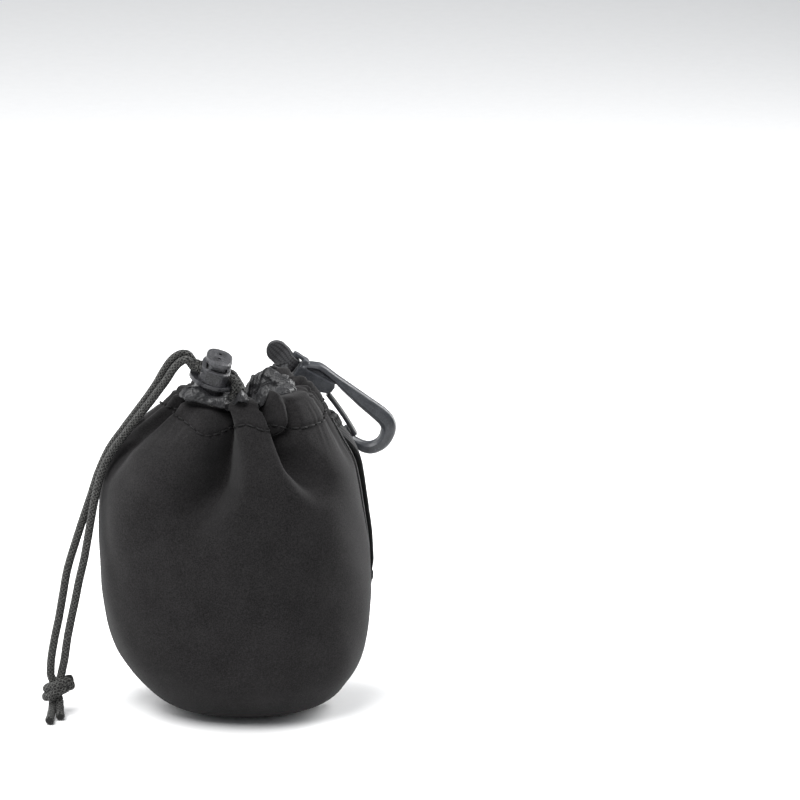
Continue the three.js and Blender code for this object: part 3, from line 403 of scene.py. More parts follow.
wraps = [*knot_turn(1.1, 1.4, 0.98), *knot_turn(-0.9, 1.7, 1.04)]
core_route = shifted([
    (-54, -9.4, 12.2), (-53.9, -9.5, 11.1), (-53, -9.9, 9), (-52.2, -9.4, 7), (-51.9, -10.4, 5.6),
    (-51.5, -11, 4.4),
])
cross_route = shifted([
    (-50.6, -9.8, 13), (-51.1, -10.1, 11.4), (-51.6, -11, 9.8), (-52.2, -12, 8.2), (-53.6, -12, 6),
    (-53.4, -10.6, 4),
])
knot_cord, _ = braided_cord("braid_knot_wrap", catmull(wraps, 8), 2.7 * mm)
knot_core, _ = braided_cord("braid_knot_core", catmull(core_route, 8))
knot_cross, _ = braided_cord("braid_knot_cross", catmull(cross_route, 8))
knot_pieces = [knot_cord, knot_core, knot_cross]
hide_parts("drawcord_knot")

melt_start_share = 0.86


def melted(share):
    """How the cord's width swells and then closes over its melted end."""
    end = np.maximum(share - melt_start_share, 0) / (1 - melt_start_share)
    return 1 + 0.12 * np.sin(end * math.pi) - 0.25 * end**4


tail_routes = {
    "drawcord_tail_left": [(-53.4, -10.6, 3.7), (-53.5, -12.4, 2.2), (-53.9, -16, 1.35), (-54.2, -20.4, 1.35)],
    "drawcord_tail_right": [(-51.5, -11, 4.2), (-51.4, -12.5, 2.7), (-51.3, -14.6, 1.5), (-51.2, -16.4, 1.3)],
}
for name, route in tail_routes.items():
    tail, _ = braided_cord("braid_" + name, catmull(shifted(route), 8), ends=melted)
    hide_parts(name)
    knot_pieces.append(tail)
for piece in knot_pieces:
    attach(piece, "pouch")

for name, side in (("drawcord_left", -1), ("drawcord_right", 1)):
    strand, path = strands[name]


# Pouch body. Two U-shaped panels of 4 mm neoprene, black knit bonded on both faces, sewn together
# round the edge and turned out. The top is gathered into deep soft folds where the cord is drawn.

body_half_width = 37.6 * mm
body_half_depth = 32 * mm
body_height = 92 * mm
neoprene_wall = 4 * mm
seam_gap = 0.02 * mm
seam_groove = 1.2 * mm
mouth_radius = 7 * mm
mouth_hole_length = 3 * mm
mouth_ledge = 6.6 * mm
rim_dip = 2.4 * mm
rim_rounding = 1.5 * mm
plan_power = 1.1
seam_spread = 2.4
full_dip_depth = 0.3
neck_share = 0.86
neck_levels = 4
neck_flare = 2.2
ledge_fall = 0.3 * mm

# How far the channel's stitch line lies below the rim, in mm, by degrees round from +X.
stitch_below_rim = [
    (0, 6.8), (150, 6.4), (195, 4.2), (222, 4.8), (236, 6), (250, 8), (262, 6.2), (271, 5.4), (284, 6.4),
    (300, 7), (360, 6.8),
]

# Height, reach and sideways lean of the filled body, as shares of its height and half width.
body_profile = [
    (0, 0.346, 0), (0.013, 0.519, 0.005), (0.039, 0.654, 0.01), (0.082, 0.761, 0), (0.13, 0.851, -0.012),
    (0.196, 0.928, -0.035), (0.283, 0.976, -0.05), (0.391, 1, -0.062), (0.5, 1, -0.075),
    (0.587, 0.989, -0.09), (0.652, 0.973, -0.097), (0.717, 0.949, -0.098), (0.772, 0.915, -0.092),
    (0.821, 0.859, -0.09), (0.859, 0.795, -0.07), (0.897, 0.718, -0.04), (0.935, 0.64, -0.01),
    (0.967, 0.565, 0.005), (1, 0.51, 0.005),
]

# The front folds, each as rows up its valley: height share, degrees round from +X, depth, and
# spread to either side in degrees. Two broad hollows flank the middle ridge; the others are creases.
folds = [
    [
        (0.46, 242, 0, 20, 10), (0.56, 247, 0, 20, 10), (0.64, 254, 0.1, 20, 7.5), (0.7, 261.5, 0.3, 19, 5),
        (0.76, 267.5, 0.47, 18, 3.8), (0.82, 269, 0.51, 16, 3.3), (0.88, 266.5, 0.44, 13, 3.4),
        (0.94, 260.5, 0.32, 11, 3.8), (1, 252, 0.27, 10, 4),
    ],
    [
        (0.7, 270, 0, 3, 3), (0.78, 270.5, 0, 3, 3), (0.86, 269, 0.1, 3, 2.6), (0.93, 262.5, 0.17, 3, 2.6),
        (1, 254, 0.16, 3, 2.6),
    ],
    [
        (0.58, 325, 0, 9, 16), (0.68, 317, 0, 8, 15), (0.74, 311, 0.06, 6.2, 13), (0.79, 306, 0.27, 5, 12),
        (0.84, 301, 0.43, 4.2, 11), (0.9, 294.5, 0.35, 3.6, 8), (0.95, 289.5, 0.29, 3.4, 5),
        (1, 285, 0.28, 3.4, 5),
    ],
    [
        (0.74, 300, 0, 3, 3), (0.79, 300, 0, 3, 3), (0.84, 300.5, 0.12, 3, 3.2), (0.885, 302, 0.2, 3, 3.4),
        (0.93, 304.5, 0.15, 3.4, 4), (1, 307, 0.05, 4, 5),
    ],
]

# The side and back folds: degrees low down and at the rim, depth, spread to either side, and the
# height share where each starts.
for low, high, depth, before, after, start in (
    (350, 352, 0.1, 8, 7, 0.74), (195, 197, 0.2, 8, 8, 0.72), (153, 157, 0.3, 9, 7, 0.62),
    (124, 128, 0.28, 7, 8, 0.66), (95, 98, 0.36, 9, 8, 0.56), (70, 68, 0.22, 6, 7, 0.7),
    (40, 37, 0.26, 8, 8, 0.62), (8, 12, 0.2, 6, 7, 0.72),
):
    half = (low + high) / 2
    folds.append([
        (start - 0.08, low, 0, before, after), (start, low, 0, before, after),
        (start + (1 - start) * 0.4, half, depth * 0.5, before, after),
        (start + (1 - start) * 0.75, half, depth * 0.95, before, after), (1, high, depth, before, after),
    ])

# How far the rim stands above or below the body's height, in mm, by degrees round from +X.
rim_lift = [
    (0, 0.4), (28, 1.8), (52, 2.2), (76, 0.8), (96, -3.2), (114, -0.4), (150, 0), (222, 0), (262, 0.3),
    (271, 1.2), (284, 0), (296, 3), (306, 0.8), (330, 0.8), (360, 0.4),
]


def eased(table, at, column=1):
    """Values of a table of rows at the given positions, on smooth curves that don't overshoot."""
    x = np.array([row[0] for row in table], float)
    y = np.array([row[column] for row in table], float)
    at = np.clip(np.asarray(at, float), x[0], x[-1])
    step = np.diff(x)
    slope = np.diff(y) / step
    tangent = np.concatenate([slope[:1], np.zeros(len(x) - 2), slope[-1:]])
    turning = slope[:-1] * slope[1:] > 0
    total = np.where(turning, slope[:-1] + slope[1:], 1)
    tangent[1:-1] = np.where(turning, 2 * slope[:-1] * slope[1:] / total, 0)
    i = np.clip(np.searchsorted(x, at, side="right") - 1, 0, len(step) - 1)
    t = (at - x[i]) / step[i]
    return (
        y[i] * (1 + 2 * t) * (1 - t) ** 2
        + step[i] * tangent[i] * t * (1 - t) ** 2
        + y[i + 1] * t * t * (3 - 2 * t)
        + step[i] * tangent[i + 1] * t * t * (t - 1)
    )


def rise_between(low, high, at):
    t = np.clip((np.asarray(at, float) - low) / (high - low), 0, 1)
    return t * t * (3 - 2 * t)


def fold_depth(angle, share):
    left = 1.0
    for rows in folds:
        middle = np.radians(eased(rows, share, 1))
        away = np.degrees(np.arctan2(np.sin(angle - middle), np.cos(angle - middle)))
        spread = np.where(away < 0, eased(rows, share, 3), eased(rows, share, 4))
        left = left * (1 - eased(rows, share, 2) * np.exp(-((away / spread) ** 2)))
    return 1 - left


def body_middle(share):
    return eased(body_profile, share, 2) * body_half_width


def stacked(x, y, z):
    return np.stack(np.broadcast_arrays(x, y, z), axis=-1)


def wall(angle, share, relief=0.0):
    """Points of the outer face: angle round from +X, height as a share, and extra reach."""
    c, s = np.cos(angle), np.sin(angle)
    x = np.sign(c) * np.abs(c) ** (1 / plan_power) * body_half_width
    y = np.sign(s) * np.abs(s) ** (1 / plan_power) * body_half_depth
    gather = fold_depth(angle, share)
    reach = np.hypot(x, y)
    off_seam = np.degrees(np.abs(np.arctan2(s, np.abs(c)))) / seam_spread
    groove = seam_groove * np.exp(-(off_seam**2)) * rise_between(0, 0.1, share)
    length = reach * eased(body_profile, share) * (1 - gather) - groove + relief
    lift = eased(rim_lift, np.degrees(angle) % 360) * mm
    dip = (rim_dip * np.minimum(1, gather / full_dip_depth) - lift) * rise_between(neck_share, 1, share)
    return stacked(
        x / reach * length + body_middle(share) + pouch_middle, y / reach * length, share * body_height - dip
    )


def unit(vectors):
    return vectors / np.linalg.norm(vectors, axis=-1, keepdims=True)


def wall_normal(angle, share):
    turn, rise = math.radians(0.5), 0.004
    around = wall(angle + turn, share) - wall(angle - turn, share)
    upward = wall(angle, np.minimum(1, share + rise)) - wall(angle, np.maximum(0, share - rise))
    return unit(np.cross(around, upward))


def off_wall(angle, share, distance):
    distance = np.asarray(distance, float)
    return wall(angle, share) + wall_normal(angle, share) * distance[..., None]


def stitch_share(angle):
    return 1 - eased(stitch_below_rim, np.degrees(angle) % 360) * mm / body_height


def puckers(angle, share):
    """The small relief of the drawn cloth: gathers at the channel stitches and a soft unevenness."""
    above = (share - stitch_share(angle)) * body_height / mm
    wander = angle + 0.05 * np.sin(5 * angle + 1) + 0.03 * np.sin(11 * angle)
    small = 0.5 * np.sin(37 * wander) + 0.35 * np.sin(61 * wander + 2.1) + 0.25 * np.sin(23 * wander + 0.7)
    near = np.where(above < 0, np.exp(-((above / 6.5) ** 2)), np.exp(-((above / 5) ** 2)))
    pinch = -0.45 * np.exp(-((above / 0.7) ** 2))
    soft = 0.16 * np.sin(3 * angle + 7 * share) + 0.12 * np.sin(7 * angle - 11 * share + 1)
    soft = soft + 0.08 * np.sin(13 * angle + 17 * share)
    middle = rise_between(0.03, 0.2, share) * (1 - rise_between(0.9, 1, share))
    return mm * (0.13 * small * near + pinch + soft * middle)


def inside_levels():
    """Height and inward shift of the lining at each level of the profile below the neck."""
    flat = np.array([(reach * body_half_width, share * body_height) for share, reach, _ in body_profile])
    levels = []
    for i in range(len(flat) - neck_levels - 1, -1, -1):
        way = unit(flat[i + 1] - flat[max(0, i - 1)])
        levels.append((body_profile[i][0], neoprene_wall * way[1], flat[i][1] + neoprene_wall * way[0]))
    return levels


def panel_rows(angle):
    """Rows of points up the outside, over the rim, down the mouth and down the lining."""
    levels = ((0.004, 0.06, 8), (0.07, 0.6, 62), (0.604, 0.98, 96))
    shares = np.concatenate([np.linspace(*level) for level in levels])
    rows = [wall(angle, share, puckers(angle, share)) for share in shares]
    edge = wall(angle, 1.0)

    def from_middle(share, reach_of, height=None):
        point = wall(angle, share)
        x = point[:, 0] - body_middle(share) - pouch_middle
        reach = np.hypot(x, point[:, 1])
        scale = reach_of(reach) / reach
        z = point[:, 2] if height is None else height
        return stacked(x * scale + body_middle(share) + pouch_middle, point[:, 1] * scale, z)

    for turn in np.linspace(0, math.pi / 2, 5):
        inset = rim_rounding * (1 - math.cos(turn))
        rows.append(from_middle(1.0, lambda r: r - inset, edge[:, 2] - rim_rounding * (1 - math.sin(turn))))

    def inner_edge(r):
        return np.maximum(r - neoprene_wall, mouth_radius + rim_rounding)

    hole_top = body_height - mouth_ledge
    ledge_share = 1 - mouth_ledge / body_height
    rows.append(from_middle(1.0, lambda r: (r + inner_edge(r)) / 2))
    rows.append(from_middle(1.0, inner_edge))
    rows.append(from_middle(1.0, lambda r: inner_edge(r) - rim_rounding / 2, hole_top))
    rows.append(from_middle(ledge_share, lambda r: 0 * r + mouth_radius, hole_top - ledge_fall))
    rows.append(from_middle(ledge_share, lambda r: 0 * r + mouth_radius, hole_top - mouth_hole_length))
    neck_top = hole_top - mouth_hole_length - ledge_fall
    for share, inward, z in inside_levels():
        limit = mouth_radius + max(0, neck_top - z) * neck_flare
        rows.append(from_middle(share, lambda r: np.minimum(r - inward, limit), z))
    return rows


def panel(name, start, columns, shift, finish):
    """A closed shell of one panel, from one side seam round to the other."""
    share = np.linspace(0, 1, columns + 1)
    angle = start + math.pi * (share - 0.3 * np.sin(2 * math.pi * share) / (2 * math.pi))
    rows = np.array(panel_rows(angle))
    rows[:, 0, 1] = 0
    rows[:, -1, 1] = 0
    rows[:, :, 1] += shift
    count = columns + 1
    ends = [(pouch_middle, shift, 0), (pouch_middle, shift, neoprene_wall)]
    places = np.concatenate([rows.reshape(-1, 3), ends])
    base, inside = len(places) - 2, len(places) - 1
    last = (len(rows) - 1) * count
    faces = []
    for j in range(columns):
        faces.append((base, j + 1, j))
        faces.append((last + j, last + j + 1, inside))
        for i in range(len(rows) - 1):
            a = i * count + j
            faces.append((a, a + 1, a + count + 1, a + count))
    side = [base] + [i * count for i in range(len(rows))] + [inside]
    other = [base] + [i * count + columns for i in range(len(rows))] + [inside]
    outer = int(np.argmax(rows[:, 0, 2]))
    for edge, turn in ((side, 1), (other, -1)):
        up, down = edge[1 : outer + 2], edge[outer + 2 :][::-1]
        cap = [*zipped(up, down, places), (base, down[0], up[0])]
        faces += [face[::turn] for face in cap]
    return add_piece(name, places, faces, finish)


def zipped(first, second, places):
    """Triangles between two open chains that start and end side by side."""
    faces = []
    i = j = 0
    while i < len(first) - 1 or j < len(second) - 1:
        step_first = j == len(second) - 1 or (
            i < len(first) - 1
            and np.linalg.norm(places[first[i + 1]] - places[second[j]])
            < np.linalg.norm(places[first[i]] - places[second[j + 1]])
        )
        if step_first:
            faces.append((first[i], second[j], first[i + 1]))
            i += 1
        else:
            faces.append((first[i], second[j], second[j + 1]))
            j += 1
    return faces


# Knit grain: the fine loops of the bonded jersey, with a little lint and pilling.
knit_pattern, given, out = pattern_group(
    "knit_grain",
    {"Contrast": 0.55, "Lint": 0.25, "Dark": (0.0062, 0.0058, 0.006, 1), "Light": (0.0205, 0.0194, 0.02, 1)},
)
g = knit_pattern
place = g.place(1000.0)
grain = g.plus(g.times(g.noise(place, 2.6, 2.0), 0.6), g.times(g.noise(place, 7.0, 1.0), 0.4))
centred = g.times(g.minus(grain, 0.5), g.times(given["Contrast"], 6.0))
broad = g.times(g.minus(g.noise(place, 0.11, 3.0), 0.5), 0.9)
lint = g.times(g.minus(g.noise(place, 1.3, 0.0), 0.66), 9.0, clamp=True)
shade = g.plus(g.plus(g.plus(centred, 0.5), broad), g.times(lint, given["Lint"]), clamp=True)
g.feed(g.blend(shade, given["Dark"], given["Light"]), out["Color"])
g.feed(grain, out["Height"])

neoprene, _ = new_finish(
    "neoprene_jersey", knit_pattern, 0.9, 0.07 * mm, strength=0.7, sheen=0.05, specular=0.12
)

panel_columns = 250
for name, start, shift in (("front_panel", math.pi, -seam_gap / 2), ("back_panel", 0.0, seam_gap / 2)):
    shell = panel("neoprene_" + name, start, panel_columns, shift, neoprene)
    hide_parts(name)
    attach(shell, "pouch")


# Side seams. The two panels are closed with an overlock stitch in black bonded thread: close
# loops that cross the edge, so that the outline looks finely beaded.


def add_skins(name, skins, finish, runs=None):
    """Several closed skins as one piece, each given by its places and faces."""
    places, faces = [], []
    for more, skin in skins:
        faces += [tuple(len(places) + v for v in face) for face in skin]
        places += list(more)
    return add_piece(name, places, faces, finish, runs)


def add_threads(name, lines, radius):
    """Several lengths of round thread as one piece."""
    skins, runs = [], []
    for line in lines:
        rings = tube_rings(line, radius, 6)
        faces, more = ringed(rings)
        skins.append((rings.reshape(-1, 3), faces))
        runs += more
    return add_skins(name, skins, seam_thread, runs)


# Thread twist: slanting lines along the run of a thread, for every sewn piece.
twist_pattern, given, out = pattern_group(
    "thread_twist", {"Pitch": 0.45, "Dark": (0.003, 0.003, 0.003, 1), "Light": (0.014, 0.0135, 0.014, 1)}
)
g = twist_pattern
_, across, along = g.cloth_run()
ply = g.sine(g.times(g.over(g.plus(across, along), given["Pitch"]), 2 * math.pi))
ply = g.plus(g.times(ply, 0.5), 0.5, clamp=True)
g.feed(g.blend(ply, given["Dark"], given["Light"]), out["Color"])
g.feed(ply, out["Height"])

seam_thread, _ = new_finish("bonded_thread", twist_pattern, 0.6, 0.05 * mm, specular=0.25)

seam_low_share, seam_high_share = 0.039, 0.897
seam_stands_off = 0.95 * mm
seam_loop = 1.15 * mm
seam_half_width = 0.75 * mm
seam_edge = 0.62 * mm
seam_thread_radius = 0.2 * mm

for name, angle in (("side_seam_right", 0.0), ("side_seam_left", math.pi)):
    shares = np.linspace(seam_low_share, seam_high_share, 400)
    lies, marks = evenly(off_wall(angle, shares, seam_stands_off), 0.12 * mm)
    share_at = np.interp(np.linspace(0, 1, len(lies)), np.linspace(0, 1, len(shares)), shares)
    out_way = wall_normal(angle, share_at)
    across = unit(np.cross(np.gradient(lies, axis=0), out_way))
    phase = marks[:, None] / seam_loop * 2 * math.pi
    loops = lies + np.sin(phase) * across * seam_half_width + np.cos(2 * phase) * out_way * 0.16 * mm
    edges = [(lies + way * across * seam_edge + out_way * 0.02 * mm)[::3] for way in (1, -1)]
    seam = add_threads("overlock_" + name, [loops, *edges], seam_thread_radius)
    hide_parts(name)
    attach(seam, "pouch")


# Channel stitch. One line of lockstitch round the mouth, 4 to 8 mm below the edge, that holds
# the nylon channel to the neoprene; it sits in the groove that it pulls into the cloth.

stitch_length = 2.3 * mm
stitch_space = 0.55 * mm
turns = np.linspace(0, 2 * math.pi, 1441)
steps = np.linalg.norm(np.diff(off_wall(turns, stitch_share(turns), 0.12 * mm), axis=0), axis=1)
mouth_run = np.concatenate([[0], np.cumsum(steps)])
stitch_count = int(mouth_run[-1] / (stitch_length + stitch_space))
stitches = []
for i in range(stitch_count):
    start = mouth_run[-1] * i / stitch_count
    marks = start + np.linspace(0, stitch_length, 7)
    turn = np.interp(marks, mouth_run, turns)
    sink = 0.42 * mm * (2 * np.linspace(0, 1, 7) - 1) ** 4
    stitches.append(off_wall(turn, stitch_share(turn), 0.08 * mm - sink))
channel_stitch = add_threads("lockstitch_channel", stitches, 0.25 * mm)
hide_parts("channel_stitch")
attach(channel_stitch, "pouch")


# Nylon channel. A folded strip of thin coated nylon, sewn inside the mouth, in which the cord
# runs. Drawn shut it bunches into sharp glossy pleats that stand above the neoprene.

nylon_thickness = 0.3 * mm
pleat_height = 0.78 * mm
roll_half_width = 2.1 * mm
cord_exit = math.radians(258)

# The roll's crest: degrees round the mouth from +X, its reach, its rise above the body's height.
crest_path = [
    (0, 12.2, 0.6), (30, 11.6, 1.4), (52, 10.6, 2.6), (74, 8.6, 1), (96, 7.2, -3.9), (116, 9, -1.2),
    (150, 12, 0), (184, 13.6, 0.3), (204, 17, 1.4), (222, 18, 3.1), (236, 15.3, 1.3), (245, 14, 1.4),
    (253, 12.4, -0.8), (267, 15.6, 3.4), (281, 11.4, -0.2), (296, 12.2, 3.2), (309, 10.8, 1.6),
    (330, 12.2, 1.8), (360, 12.2, 0.6),
]


def crest(angle):
    turn = np.degrees(angle) % 360
    return eased(crest_path, turn, 1) * mm, eased(crest_path, turn, 2) * mm + body_height


def mouth_point(angle, reach, height):
    middle = body_middle(1.0) + pouch_middle
    return stacked(middle + reach * np.cos(angle), reach * np.sin(angle), height)


rim_edge = wall(np.linspace(0, 2 * math.pi, 1441), 1.0)
rim_across = rim_edge[:, 0] - body_middle(1.0) - pouch_middle
rim_turns = np.unwrap(np.arctan2(rim_edge[:, 1], rim_across))
rim_outer = np.hypot(rim_across, rim_edge[:, 1])
rim_inner = np.maximum(rim_outer - neoprene_wall, mouth_radius + rim_rounding)


def rim_at(angle):
    """Reach of the rim's inner and outer edge and its height, from the middle of the mouth."""
    at = rim_turns[0] + (angle - rim_turns[0]) % (2 * math.pi)
    return [np.interp(at, rim_turns, values) for values in (rim_inner, rim_outer, rim_edge[:, 2])]


def nylon_section(angle):
    """The strip's line at one place: from the rim, up over the cord and down into the mouth."""
    inner, outer, rim = rim_at(angle)
    reach, top = crest(angle)
    w = roll_half_width * (1 + 0.3 * math.exp(-(((math.degrees(angle) - 222) / 13) ** 2)))
    over = float(rise_between(inner - 0.6 * mm, inner + 1.4 * mm, reach + w))
    foot = inner - 0.3 * mm + over * (min(reach + w * 0.9, outer - 0.7 * mm) - inner + 0.3 * mm)
    foot_height = rim - 0.9 * mm + over * 1.0 * mm
    low = min(top - 1.7 * mm, foot_height + 0.7 * mm) if over > 0.5 else top - 2.2 * mm
    return np.array([
        (foot, foot_height), (reach + w * 1.04, low), (reach + w * 0.8, top - 0.7 * mm),
        (reach + w * 0.1, top), (reach - w * 0.75, top - 0.75 * mm), (reach - w * 1.1, top - 2.4 * mm),
        ((reach - w * 1.1 + 5.5 * mm) / 2, (top - 2.4 * mm + 86 * mm) / 2), (5.2 * mm, 85.6 * mm),
    ])


section_points = 44
mouth_steps = 660


def nylon_rings():
    """Rings of points, skin and underside, round the mouth. Pleats run up the roll, sharp at their feet."""
    part = np.linspace(0, 1, section_points)
    swell = np.interp(part, [0, 0.12, 0.4, 0.75, 1], [0.15, 0.8, 1, 0.8, 0.3])
    angles = np.linspace(0, 2 * math.pi, mouth_steps + 1)[:-1]
    rings = []
    for angle in angles:
        line = evenly(catmull(np.c_[nylon_section(angle), np.zeros(8)], 8), 0.1 * mm)[0]
        marks = part * (len(line) - 1)
        line = np.stack([np.interp(marks, np.arange(len(line)), line[:, k]) for k in range(2)], axis=1)
        way = unit(np.gradient(line, axis=0))
        side = np.stack([way[:, 1], -way[:, 0]], axis=1)
        lean = angle + 0.1 * math.sin(4 * angle) + (part - 0.4) * 0.16 * math.sin(3 * angle + 1)
        big = 1.6 * np.abs(np.sin(9.5 * lean + 0.9 * math.sin(2 * angle))) ** 0.55 - 1
        small = 0.5 - np.abs(np.sin(23 * lean + 1.7 * math.sin(5 * angle) + part)) ** 0.7
        dent = 0.35 * np.sin(7 * angle + 9 * part) * np.sin(5 * part + 3 * angle)
        relief = pleat_height * (0.62 * big + 0.3 * small + dent) * swell
        skin = line - side * relief[:, None]
        rings.append(np.concatenate([skin, (skin + side * nylon_thickness)[::-1]]))
    rings = np.array(rings)
    return mouth_point(angles[:, None], rings[..., 0], rings[..., 1])


# Coated nylon: a tight plain weave under a thin coat, crumpled into small facets.
weave_pattern, given, out = pattern_group(
    "plain_weave", {"Yarn Size": 0.42, "Dark": (0.002, 0.002, 0.0025, 1), "Light": (0.024, 0.024, 0.026, 1)}
)
g = weave_pattern
_, across, along = g.cloth_run()
warp, weft = (g.sine(g.times(g.over(run, given["Yarn Size"]), math.pi)) for run in (across, along))
woven = g.plus(g.times(g.times(warp, weft), 0.5), 0.5)
place = g.place()
tone = g.plus(g.times(woven, 0.45), g.times(g.noise(place, 320.0, 3.0), 0.6), clamp=True)
wander = g.node("ShaderNodeTexNoise", [("Vector", place), ("Scale", 500.0), ("Detail", 2.0)]).outputs
bend = [(0, wander["Color"]), (1, (1.6 * mm,) * 3), (2, place)]
bent = g.node("ShaderNodeVectorMath", bend, operation="MULTIPLY_ADD")
facet = g.node("ShaderNodeTexVoronoi", [("Vector", bent.outputs[0]), ("Scale", 560.0)]).outputs["Distance"]
g.feed(g.blend(tone, given["Dark"], given["Light"]), out["Color"])
g.feed(g.plus(g.times(woven, 0.12), g.times(facet, 0.9)), out["Height"])

coated_nylon, shader = new_finish("coated_nylon", weave_pattern, 0.48, 0.5 * mm, specular=0.38)
shader["Coat Weight"].default_value = 0.06
shader["Coat Roughness"].default_value = 0.42

nylon_channel = add_rings("nylon_channel", nylon_rings(), coated_nylon, closed=True)
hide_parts("channel_sleeve")
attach(nylon_channel, "pouch")


# Drawcord in the channel. The middle of the same cord: in at one side of the lock, down through
# the buttonhole, round inside the nylon and back up into the lock.

below_crest = 1.9 * mm


def channel_cord_route():
    turns = cord_exit + np.linspace(0.3, 2 * math.pi - 0.3, 54)
    reach, top = crest(turns)
    middle = [tuple(p) for p in mouth_point(turns, reach, top - below_crest)]

    def entry(side):
        across = -side * cords_apart / 2
        face = -lock_width / 2
        return [
            mouth_point(cord_exit + side * 0.16, 9.6 * mm, body_height - 0.4 * mm),
            mouth_point(cord_exit + side * 0.1, 8.8 * mm, body_height + 2.6 * mm),
            in_lock(face - 1.5 * mm, across, lock_cord_height - 0.7 * mm),
            in_lock(face - 0.3 * mm, across, lock_cord_height),
            in_lock(0, across, lock_cord_height),
            in_lock(lock_width / 2 + 0.5 * mm, across, lock_cord_height),
        ]

    return [*entry(1)[::-1], *middle, *entry(-1)]


inner_route = catmull(channel_cord_route(), 6)
channel_cord, _ = braided_cord("braid_in_channel", inner_route, spacing=0.4 * mm, sides=14)
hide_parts("drawcord_in_channel")
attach(channel_cord, "pouch")


# Cord lock. A two-hole barrel lock moulded in dark grey nylon with a fine spark grain: barrel
# with finger wings, sprung plunger with two dimples on its head, and the steel spring between.

grain_pattern, given, out = pattern_group(
    "moulded_grain",
    {
        "Grain Size": 0.4, "Highlight Share": 0.9, "Dark": (0.005, 0.005, 0.006, 1), "Light": (0.05, 0.05, 0.055, 1),
        "Highlight Colour": (0.2, 0.2, 0.21, 1),
    },
    ("Color", "Height", "Roughness"),
)
g = grain_pattern
place = g.place(1000.0)
pebble = g.noise(place, g.over(1.0, given["Grain Size"]), 2.0)
cloud = g.noise(place, 0.35, 3.0)
# Sharp edges, found by pointiness, are lightened in patches toward the last colour: a painted edge highlight.
pointed = g.node("ShaderNodeNewGeometry").outputs["Pointiness"]
edge = g.times(g.minus(pointed, 0.52), 9.0, clamp=True)
edge_highlight = g.times(g.times(edge, given["Highlight Share"]), g.noise(place, 1.7, 4.0), clamp=True)
tone = g.plus(g.times(pebble, 0.6), g.times(cloud, 0.4))
tone = g.times(g.minus(tone, 0.4), 4.5, clamp=True)
g.feed(g.blend(edge_highlight, g.blend(tone, given["Dark"], given["Light"]), given["Highlight Colour"]), out["Color"])
g.feed(pebble, out["Height"])
g.feed(g.plus(0.3, g.times(cloud, 0.25)), out["Roughness"])


def grained(size, highlight_share, dark, light, edge_highlight):
    """The grain's values: its size, the share of painted edge highlight, and its dark, light and painted
    highlight colours given as red, green and blue.
    """
    colours = {"Dark": (*dark, 1), "Light": (*light, 1), "Highlight Colour": (*edge_highlight, 1)}
    return {"Grain Size": size, "Highlight Share": highlight_share, **colours}


# The lock, spring, hook and gate all take the grain's painted edge highlight: the share and the last colour
# given to grained.
lock_plastic, _ = new_finish("lock_plastic", grain_pattern, None, 0.16 * mm)
drawn_grain = grained(0.1, 0.2, (0.35, 0.35, 0.37), (0.6, 0.6, 0.62), (0.8, 0.8, 0.8))
spring_steel, shader = new_finish("spring_steel", grain_pattern, 0.3, 0.01 * mm, drawn_grain)
shader["Metallic"].default_value = 1


def dress(node, finish):
    piece = bpy.data.objects[node]
    piece.data.materials.clear()
    piece.data.materials.append(finish)
    return piece


for node in ("lock_barrel", "lock_plunger"):
    part = dress(node, lock_plastic)
    soften = part.modifiers.new("moulded_edges", "BEVEL")
    soften.width = 0.3 * mm
    soften.segments = 3
    soften.limit_method = "ANGLE"
    soften.angle_limit = math.radians(38)
dress("lock_spring", spring_steel)


# Belt strap. A length of 20 mm ribbed webbing down the back right of the pouch, sewn at its two
# ends with bar tacks so that a belt can pass behind it.

strap_width = 20 * mm
strap_thickness = 1.4 * mm
strap_gap = 0.8 * mm
strap_angle = math.radians(29)
strap_low, strap_high = 0.35, 0.885

rib_pattern, given, out = pattern_group(
    "webbing_ribs",
    {"Rib Width": 1.1, "Pick": 0.6, "Dark": (0.0025, 0.0025, 0.0028, 1), "Light": (0.04, 0.04, 0.042, 1)},
)
g = rib_pattern
run, across, along = g.cloth_run()
rib = g.maths("ABSOLUTE", g.sine(g.times(g.over(across, given["Rib Width"]), math.pi)))
pick = g.times(g.over(along, given["Pick"]), 2 * math.pi)
pick = g.plus(g.times(g.sine(g.plus(pick, g.times(rib, 2.0))), 0.5), 0.5)
tone = g.plus(g.times(rib, 0.4), g.times(pick, 0.25))
tone = g.plus(tone, g.times(g.noise(run, 4.0, 2.0), 0.4), clamp=True)
g.feed(g.blend(tone, given["Dark"], given["Light"]), out["Color"])
g.feed(g.plus(rib, g.times(pick, 0.45)), out["Height"])


def webbing_finish(name, light):
    ribs = {"Light": (light, light, light * 1.05, 1)}
    return new_finish(name, rib_pattern, 0.75, 0.1 * mm, ribs, sheen=0.04, specular=0.2)[0]


# The belt strap uses the loop's webbing pattern with a far darker light tone: painted shade, for the shadowed
# band it shows along the pouch's right edge.
shaded_strap_webbing = webbing_finish("shaded_strap_webbing", 0.009)
webbing = webbing_finish("loop_webbing", 0.075)

# Places across webbing, from -1 at one edge to 1 at the other.
band = np.linspace(-1, 1, 37)


def add_band(name, top, low, width, finish):
    """Webbing from the rows of points of its two faces, which meet at the edges."""
    rings = np.concatenate([top, low[:, -2:0:-1]], axis=1)
    across = np.concatenate([band, band[-2:0:-1]]) * width / 2 / mm
    return add_rings(name, rings, finish, across=across)


def wall_reach(angle, share):
    """How far the wall lies from the body's middle."""
    at = wall(angle, share)
    return np.hypot(at[..., 0] - body_middle(share) - pouch_middle, at[..., 1])


strap_rows = 110
strap_rib = 1.25 * mm
strap_hem = 0.006
sewn_lie = 0.1 * mm

